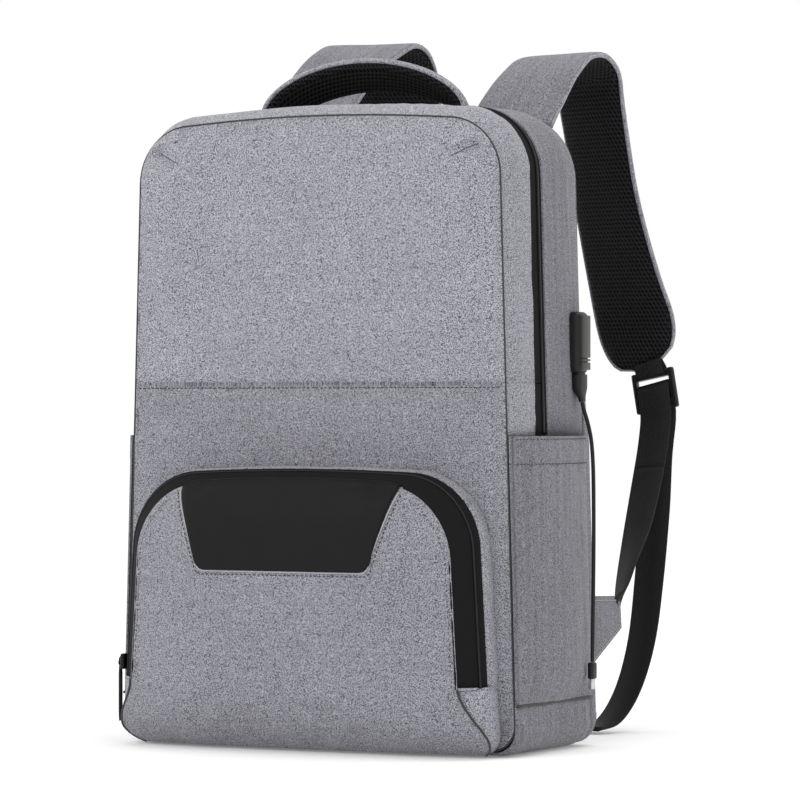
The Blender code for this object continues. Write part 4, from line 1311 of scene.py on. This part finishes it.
def build_slider(prefix, slider_body, puller_body):
    """A slider with a bail, and a slim moulded puller that hangs from it."""
    low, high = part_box(prefix + "_slider")
    slider = rounded_block(prefix + "_slider_body", low, high, 0.0011, "enamel")
    stand_for(slider, slider_body, "slider_metal", prefix + "_slider")
    middle = (low + high) / 2
    bail = []
    for k in range(11):
        turn = math.pi * k / 10
        bail.append(Vector((low.x - 0.0030 * math.sin(turn), middle.y, middle.z + 0.0040 * math.cos(turn))))
    stand_for(cord_piece(prefix + "_bail", bail, 0.0006, "enamel"), slider_body, "slider_metal")
    puller_low, puller_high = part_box(prefix + "_puller")
    x = (puller_low.x + puller_high.x) / 2
    top = puller_high.z
    bottom = puller_low.z
    length = top - bottom
    pivot = Vector(JOINTS[prefix + "_puller_swing"]["pos_m"])
    ring = []
    for k in range(13):
        turn = 2 * math.pi * k / 12
        ring.append(Vector((pivot.x - 0.0004, middle.y + 0.0015 * math.sin(turn),
                            pivot.z - 0.0010 + 0.0016 * math.cos(turn))))
    stand_for(cord_piece(prefix + "_puller_ring", ring, 0.0006, "enamel"), puller_body, "slider_metal")
    line = [Vector((x, middle.y, top - 0.0040 - (length - 0.0040) * k / 12)) for k in range(13)]

    def section(i, t):
        radius = 0.0010 + 0.0005 * ease(t / 0.15) - 0.0003 * ease((t - 0.85) / 0.15)
        return [(radius * 1.35 * math.cos(math.pi * k / 5), radius * 0.8 * math.sin(math.pi * k / 5))
                for k in range(10)]

    rod = sweep(prefix + "_puller_rod", line, [Vector((0, 1, 0))] * len(line), section, "plastic")
    stand_for(rod, puller_body, "black_plastic", prefix + "_puller")


# ---------------------------------------------------------------- handle
def soft_band(name, line, sides, widths, inner, outer, material, puff=0.0, uv=False):
    """A flat soft band from outer to inner along its face normal, rounded at its edges."""
    def section(i, t):
        half = widths[i] / 2
        middle = (inner + outer) / 2
        thick = (inner - outer) / 2
        loop = []
        for k in range(24):
            angle = 2 * math.pi * k / 24
            u = bulged(math.cos(angle), 0.45)
            v = bulged(math.sin(angle), 0.75)
            swell = puff * (1 - u * u) * (1 if v > 0 else 0)
            loop.append((half * u, middle + thick * v + swell * v))
        return loop

    return sweep(name, line, sides, section, material, uv)


def edge_binding(name, line, sides, widths, place, radius, material="heather"):
    """Folded binding along both edges of a band, as two slim closed cords joined in one piece."""
    shape = bmesh.new()
    for edge in (LEFT, RIGHT):
        loops = []
        for i, point in enumerate(line):
            across, normal = cross_axes(line, sides, i)
            centre = point + across * edge * (widths[i] / 2 - radius * 0.5) + normal * place
            loops.append([shape.verts.new(centre + across * radius * math.cos(math.pi * k / 4)
                                          + normal * radius * 1.5 * math.sin(math.pi * k / 4))
                          for k in range(8)])
        bridge(shape, loops)
    bmesh.ops.recalc_face_normals(shape, faces=shape.faces)
    return add_mesh(name, shape, material)


HANDLE_TILT = math.radians(37)
HANDLE_RISE = 0.0175
HANDLE_LOWER = 0.004        # how much lower the arch is than the CAD's
FOOT_IN = 0.011             # from the CAD cover's outer edge in to the middle of a foot
FOOT_SUNK = 0.006           # depth of a foot below the bag's top
END_SUNK = 0.009            # depth of the sewn end beyond it
END_OUT = 0.003
FOOT_WIDTH = 0.022
ARCH_EXTRA_WIDTH = 0.010


def build_handle():
    """A padded arch with its front edge higher; its ends bend where they are sewn into the top."""
    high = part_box("handle_cover")[1]
    pivot = Vector(JOINTS["handle_tip"]["pos_m"])
    foot_x = high.x - FOOT_IN
    foot_z = TOP - FOOT_SUNK
    rise = pivot.z + HANDLE_RISE - HANDLE_LOWER - foot_z
    line = []
    steps = 44
    for i in range(steps + 1):
        angle = math.pi * i / steps
        lift = rise * math.sin(angle) ** 1.3
        line.append(Vector((-foot_x * math.cos(angle), pivot.y, foot_z + lift)))
    ends = [Vector((side * (foot_x + END_OUT), pivot.y, TOP - END_SUNK)) for side in (LEFT, RIGHT)]
    line = [ends[0]] + line + [ends[1]]
    last = len(line) - 1
    sides = [Vector((0, -math.cos(HANDLE_TILT), math.sin(HANDLE_TILT)))] * len(line)
    widths = []
    for i in range(last + 1):
        along_arch = min(max((i - 1) / (last - 2), 0.0), 1.0)
        widths.append(FOOT_WIDTH + ARCH_EXTRA_WIDTH * math.sin(math.pi * along_arch) ** 0.5)
    cover = soft_band("handle_cloth", line, sides, widths, -0.0002, -0.0028, "heather")
    pad = soft_band("handle_foam", line, sides, [width - 0.003 for width in widths], 0.0052, 0.0, "mesh")
    binding = edge_binding("handle_binding", line, sides, widths, 0.0002, 0.0013)
    for piece, name, node in ((cover, "side_grey", "handle_cover"), (pad, "air_mesh", "handle_pad"),
                              (binding, "side_grey", None)):
        if node:
            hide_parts(node)
        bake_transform(piece)


# ---------------------------------------------------------------- shoulder straps
STRAP_WIDTH = 0.066
ROOT_IN = [(0.085, 0.0650, 0.4350), (0.085, 0.0780, 0.4480)]
STRAP_OVER = {
    RIGHT: [(0.085, 0.0965, 0.464), (0.086, 0.113, 0.477), (0.086, 0.138, 0.489), (0.087, 0.165, 0.490),
            (0.087, 0.189, 0.476), (0.088, 0.203, 0.440), (0.091, 0.213, 0.395)],
    LEFT: [(0.085, 0.0965, 0.464), (0.086, 0.118, 0.480), (0.086, 0.150, 0.498), (0.087, 0.185, 0.507),
           (0.087, 0.213, 0.492), (0.088, 0.226, 0.450), (0.091, 0.229, 0.398)],
}
STRAP_DOWN = [(0.096, 0.225, 0.350), (0.103, 0.232, 0.312), (0.111, 0.232, 0.286), (0.119, 0.228, 0.268)]
WEB_ROUTE = [(0.1243, 0.2262, 0.2540), (0.1256, 0.2222, 0.2500), (0.1273, 0.2210, 0.2400),
             (0.1285, 0.2205, 0.228), (0.1295, 0.212, 0.205), (0.131, 0.197, 0.178), (0.135, 0.172, 0.146),
             (0.140, 0.143, 0.118), (0.1455, 0.1200, 0.0955), (0.1462, 0.1120, 0.0900)]
TAIL_ROUTE = [(0.1243, 0.2262, 0.2540), (0.1256, 0.2302, 0.2495), (0.1273, 0.2300, 0.2400),
              (0.1285, 0.2292, 0.2275), (0.127, 0.226, 0.200), (0.127, 0.2215, 0.160),
              (0.1265, 0.213, 0.110), (0.124, 0.205, 0.065), (0.119, 0.192, 0.030), (0.112, 0.174, 0.008),
              (0.104, 0.152, 0.0025)]


def mirrored(points, side):
    return [Vector((side * x, y, z)) for x, y, z in points]


def turned_sides(line, side, start=0):
    """The strap's width direction: along X at the root, turned about Z on the way down."""
    last = len(line) - 1
    sides = []
    for i in range(len(line)):
        turn = -0.38 * math.sin(math.pi * max(0.0, (i - start) / (last - start)))
        sides.append(Vector((math.cos(turn), side * math.sin(turn), 0.0)))
    return sides


def strap_widths(line):
    """Full width from the root, rounded off like a tongue at the lower end."""
    travelled = distances(line)
    tongue = 0.042
    widths = []
    for distance in travelled:
        left = min((travelled[-1] - distance) / tongue, 1.0)
        widths.append(STRAP_WIDTH * (0.36 + 0.64 * math.sqrt(max(1 - (1 - left) ** 2, 0.0))))
    return widths


def build_strap(side, word):
    """Padded strap: grey cloth outside, spacer mesh inside, bound edges and a sewn dent near its end."""
    line = smooth_line(mirrored(ROOT_IN + STRAP_OVER[side] + STRAP_DOWN, side), 0.0045)
    sides = turned_sides(line, side, 6)
    widths = strap_widths(line)
    last = len(line) - 1
    dent_at = 0.90 * last

    def foam(i, t):
        half = widths[i] / 2 - 0.0016
        dent = 0.0030 * math.exp(-((i - dent_at) / 2.2) ** 2)
        thin = 0.35 + 0.65 * ease(t / 0.08) * ease((1 - t) / 0.05)
        loop = []
        for k in range(28):
            angle = 2 * math.pi * k / 28
            u = bulged(math.cos(angle), 0.55)
            v = math.sin(angle)
            if v > 0:
                uneven = 0.0003 * ruffle(u * 3, i * 0.2, 0, 1.0)
                height = 0.0072 * thin * abs(v) ** 0.8 - dent * (1 - u ** 4) + uneven
            else:
                height = -0.0008 * abs(v)
            loop.append((half * u, height))
        return loop

    pad = sweep("strap_foam_" + word, line, sides, foam, "mesh")
    cover = soft_band("strap_cloth_" + word, line, sides, widths, -0.0002, -0.0026, "heather_side")
    binding = edge_binding("strap_binding_" + word, line, sides, widths, 0.0002, 0.0013)
    nodes = {"strap_foam_" + word: ("air_mesh", ["strap_pad_" + word]),
             "strap_cloth_" + word: ("side_grey", ["strap_cover_" + word, "strap_root_" + word]),
             "strap_binding_" + word: ("side_grey", [])}
    for piece in (pad, cover, binding):
        slot_name, replaced = nodes[piece.name]
        if replaced:
            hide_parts(*replaced)
        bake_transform(piece)


def web_section(half, thick):
    """A flat strip's outline with slim rounded edges."""
    loop = [(-half, 0.0), (-half * 0.97, -thick / 2), (0.0, -thick / 2), (half * 0.97, -thick / 2),
            (half, 0.0), (half * 0.97, thick / 2), (0.0, thick / 2), (-half * 0.97, thick / 2)]
    return lambda i, t: loop


def directions(count, *stops):
    """Unit directions that turn evenly through the given ones."""
    found = []
    for i in range(count):
        place = i / (count - 1) * (len(stops) - 1)
        low = min(int(place), len(stops) - 2)
        share = place - low
        found.append(Vector(stops[low]).lerp(Vector(stops[low + 1]), share).normalized())
    return found


def build_webbing(side, word):
    """Webbing from the ladder-lock to the anchor tab, and its free tail that reaches the floor."""
    lock_across = Vector(JOINTS["adjuster_tilt_" + word]["axis"])
    half = 0.0125
    thick = 0.0016
    web = smooth_line(mirrored(WEB_ROUTE, side), 0.004)
    sides = directions(len(web), lock_across, lock_across, (0.55, 0.20 * side, 0.6 * side),
                       (0.0, 0.35 * side, 0.94 * side))
    strip = web_section(half, thick)
    split = len(web) // 3
    top = sweep("webbing_top_" + word, web[:split + 1], sides[:split + 1], strip, "webbing", True)
    run = sweep("webbing_run_" + word, web[split:], sides[split:], strip, "webbing", True)
    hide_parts("webbing_" + word)
    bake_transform(top)
    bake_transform(run)
    line = smooth_line(mirrored(TAIL_ROUTE, side), 0.004)
    sides = directions(len(line), lock_across, lock_across, (0.97, -0.2 * side, 0.0),
                       (0.90, -0.40 * side, 0.0))
    tail = sweep("tail_run_" + word, line, sides, strip, "webbing", True)
    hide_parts("tail_" + word)
    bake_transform(tail)
    fold_line = [line[-1] + Vector((side * 0.0035, 0.010, 0.0016)), line[-1] + Vector((0, 0.001, 0.0016))]
    hem = sweep("tail_hem_" + word, fold_line, [sides[-1]] * 2, strip, "webbing", True)
    stand_for(hem, "strap_" + word, "webbing_black")
    loop = [Vector((side * 0.1190, 0.2290, 0.2700)), Vector((side * 0.1215, 0.2315, 0.2640)),
            Vector((side * 0.1228, 0.2310, 0.2595)), Vector((side * 0.1226, 0.2265, 0.2590)),
            Vector((side * 0.1210, 0.2245, 0.2640)), Vector((side * 0.1190, 0.2250, 0.2700))]
    loop = smooth_line(loop, 0.002)
    keeper = sweep("strap_keeper_" + word, loop, [lock_across] * len(loop), web_section(0.0110, 0.0014),
                   "webbing", True)
    stand_for(keeper, "strap_" + word, "webbing_black")


def build_anchor_tab(side, word):
    """A folded triangle of cloth, with stitched edges, that holds the webbing's lower end."""
    low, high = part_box("anchor_tab_" + word)
    x = side * (abs(low.x) + abs(high.x)) / 2
    thick = 0.0030
    outline = [(low.y - 0.0060, low.z), (low.y - 0.0060, high.z), (high.y - 0.0020, high.z - 0.0020),
               (high.y + 0.0010, low.z + 0.029)]
    middle = Vector((sum(y for y, _ in outline) / 4, sum(z for _, z in outline) / 4))
    shape = bmesh.new()
    rings = []
    layers = ((-thick / 2, 0.06), (-thick / 2 + 0.0006, 0.0), (thick / 2 - 0.0006, 0.0), (thick / 2, 0.06))
    for offset, share in layers:
        ring = []
        for a, b in zip(outline, outline[1:] + outline[:1]):
            for k in range(8):
                point = Vector(a).lerp(Vector(b), k / 8).lerp(middle, share)
                ring.append(shape.verts.new((x + offset, point.x, point.y)))
        rings.append(ring)
    bridge(shape, rings)
    bmesh.ops.recalc_face_normals(shape, faces=shape.faces)
    tab = add_mesh("anchor_tab_cloth_" + word, shape, "heather_side")
    stand_for(tab, "shell", "side_grey", "anchor_tab_" + word)
    skin = Skin(tab)
    inner = [Vector(point).lerp(middle, 0.16) for point in outline[1:] + outline[:1]]
    line = [(x, point.x, point.y) for point in inner]
    places, normals = skin.trace(line, (-side, 0, 0))
    sewn = stitches("anchor_tab_stitches_" + word, places, normals, "thread_light", 0.0034, 0.0024)
    stand_for(sewn, "shell", "side_grey")


# ---------------------------------------------------------------- port, plug and cable
def build_port():
    low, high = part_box("usb_housing")
    housing = rounded_block("port_housing", low - Vector((0.0040, 0, 0)), high, 0.0042, "plastic", 5)
    stand_for(housing, "shell", "black_plastic", "usb_housing")
    low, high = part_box("usb_face_plate")
    groove = 0.0008
    share = 0.16
    split = low.z + (high.z - low.z) * share
    parts = ((low.z, split - groove), (split, split + 0.0016), (split + 0.0016 + groove, high.z))
    for number, (z_low, z_high) in enumerate(parts):
        plate = rounded_block("port_face_%d" % number, (low.x - 0.0016, low.y, z_low),
                              (high.x, high.y, z_high), 0.0006, "gunmetal", 2)
        stand_for(plate, "shell", "port_face", *(["usb_face_plate"] if number == 2 else []))


CABLE_RADIUS = 0.0014
CABLE_ROUTE = [(0.1552, 0.0365, 0.2400), (0.1562, 0.0365, 0.2355), (0.1582, 0.0364, 0.2300),
               (0.1606, 0.0362, 0.2220), (0.1626, 0.0360, 0.2120), (0.1640, 0.0356, 0.1950),
               (0.1647, 0.0350, 0.1700), (0.1650, 0.0344, 0.1400), (0.1650, 0.0338, 0.1120),
               (0.1648, 0.0334, 0.0850), (0.1646, 0.0330, 0.0600)]


def build_plug_and_cable():
    """The plug in the port's underside, and the cable that hangs from it to its connector."""
    low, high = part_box("charging_plug")
    base = low.z
    top = base + 0.019
    middle = Vector(((low.x + high.x) / 2, (low.y + high.y) / 2, 0))
    half_x = (high.x - low.x) / 2
    half_y = (high.y - low.y) / 2
    exit_place = Vector((CABLE_ROUTE[0][0], middle.y, base))
    line = [middle + Vector((0, 0, top - (top - base) * k / 14)) for k in range(15)]
    line = [point.lerp(Vector((exit_place.x, exit_place.y, point.z)), ease((k - 6) / 8))
            for k, point in enumerate(line)]

    def section(i, t):
        taper = 1 - 0.62 * ease((t - 0.45) / 0.55)
        loop = []
        for k in range(20):
            angle = 2 * math.pi * k / 20
            u = bulged(math.cos(angle), 0.5)
            v = bulged(math.sin(angle), 0.5)
            loop.append((half_y * taper * u, half_x * max(taper, 0.52) * v))
        return loop

    plug = sweep("plug_body", line, [Vector((0, 1, 0))] * len(line), section, "plastic")
    stand_for(plug, "charging_plug", "black_plastic", "charging_plug")
    blade = rounded_block("plug_blade", (middle.x - 0.0019, middle.y - 0.0057, top - 0.004),
                          (middle.x + 0.0019, middle.y + 0.0057, high.z), 0.0005, "plastic", 2)
    stand_for(blade, "charging_plug", "black_plastic")
    path = smooth_line([Vector(point) for point in CABLE_ROUTE], 0.004)
    data = bpy.data.curves.new("cable", "CURVE")
    data.dimensions = "3D"
    data.bevel_depth = CABLE_RADIUS
    data.bevel_resolution = 3
    data.use_fill_caps = True
    spline = data.splines.new("POLY")
    spline.points.add(len(path) - 1)
    for target, point in zip(spline.points, path):
        target.co = (*point, 1.0)
    cable = bpy.data.objects.new("cable", data)
    bpy.context.scene.collection.objects.link(cable)
    data.materials.append(MATERIALS["jacket"])
    stand_for(cable, "charging_plug", "cable_jacket", "charging_cable")
    low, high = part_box("cable_connector")
    shell = rounded_block("connector_body", (low.x, low.y, low.z + 0.007), high, 0.0014, "plastic")
    stand_for(shell, "charging_plug", "black_plastic", "cable_connector")
    tip = rounded_block("connector_tip", (low.x + 0.0012, low.y + 0.0010, low.z),
                        (high.x - 0.0012, high.y - 0.0010, low.z + 0.008), 0.0004, "steel", 2)
    stand_for(tip, "charging_plug", "black_plastic")


# ---------------------------------------------------------------- inside
def build_inside():
    """Laptop divider and power bank sleeve in lining cloth; the rest keeps its CAD shape."""
    low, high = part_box("laptop_divider")
    divider = pillow("laptop_divider_foam", low, high, "lining", 30, 40, power=10.0)
    stand_for(divider, "shell", "lining", "laptop_divider")
    low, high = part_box("power_bank_sleeve")
    rows = []
    inner = [(low.x, low.y), (high.x, low.y), (high.x, high.y), (low.x, high.y)]
    for k in range(9):
        z = low.z + (high.z - low.z) * k / 8
        row = []
        for a, b in zip(inner, inner[1:] + inner[:1]):
            for i in range(8):
                row.append(Vector((a[0] + (b[0] - a[0]) * i / 8, a[1] + (b[1] - a[1]) * i / 8, z)))
        rows.append(row)
    sleeve = surface("sleeve_cloth", rows, "lining", closed=True)
    sleeve.modifiers.new("cloth", "SOLIDIFY").thickness = 0.0014
    stand_for(sleeve, "shell", "lining", "power_bank_sleeve")
    kept = {"base_board": "board", "usb_socket": "plastic", "internal_plug": "plastic",
            "internal_cable": "jacket", "power_bank": "plastic", "adjuster_left": "plastic",
            "adjuster_right": "plastic"}
    for node, key in kept.items():
        mesh = frame["nodes"][node].data
        mesh.materials.clear()
        mesh.materials.append(MATERIALS[key])


def build():
    studio()
    build_plug_and_cable()
    build_front()
    build_seam_shade_cord()
    build_front_gusset()
    build_side_walls()
    build_rear_gusset()
    build_base()
    build_back()
    build_main_zipper()
    build_side_pockets()
    skin = build_pocket_front()
    build_pocket_sides()
    build_patch(skin)
    build_pocket_stitches(skin)
    build_slider("pocket", "pocket_slider", "pocket_puller")
    build_slider("main", "main_slider", "main_puller")
    build_handle()
    for side, word in SIDES:
        build_strap(side, word)
        build_webbing(side, word)
        build_anchor_tab(side, word)
    build_port()
    build_inside()


build()
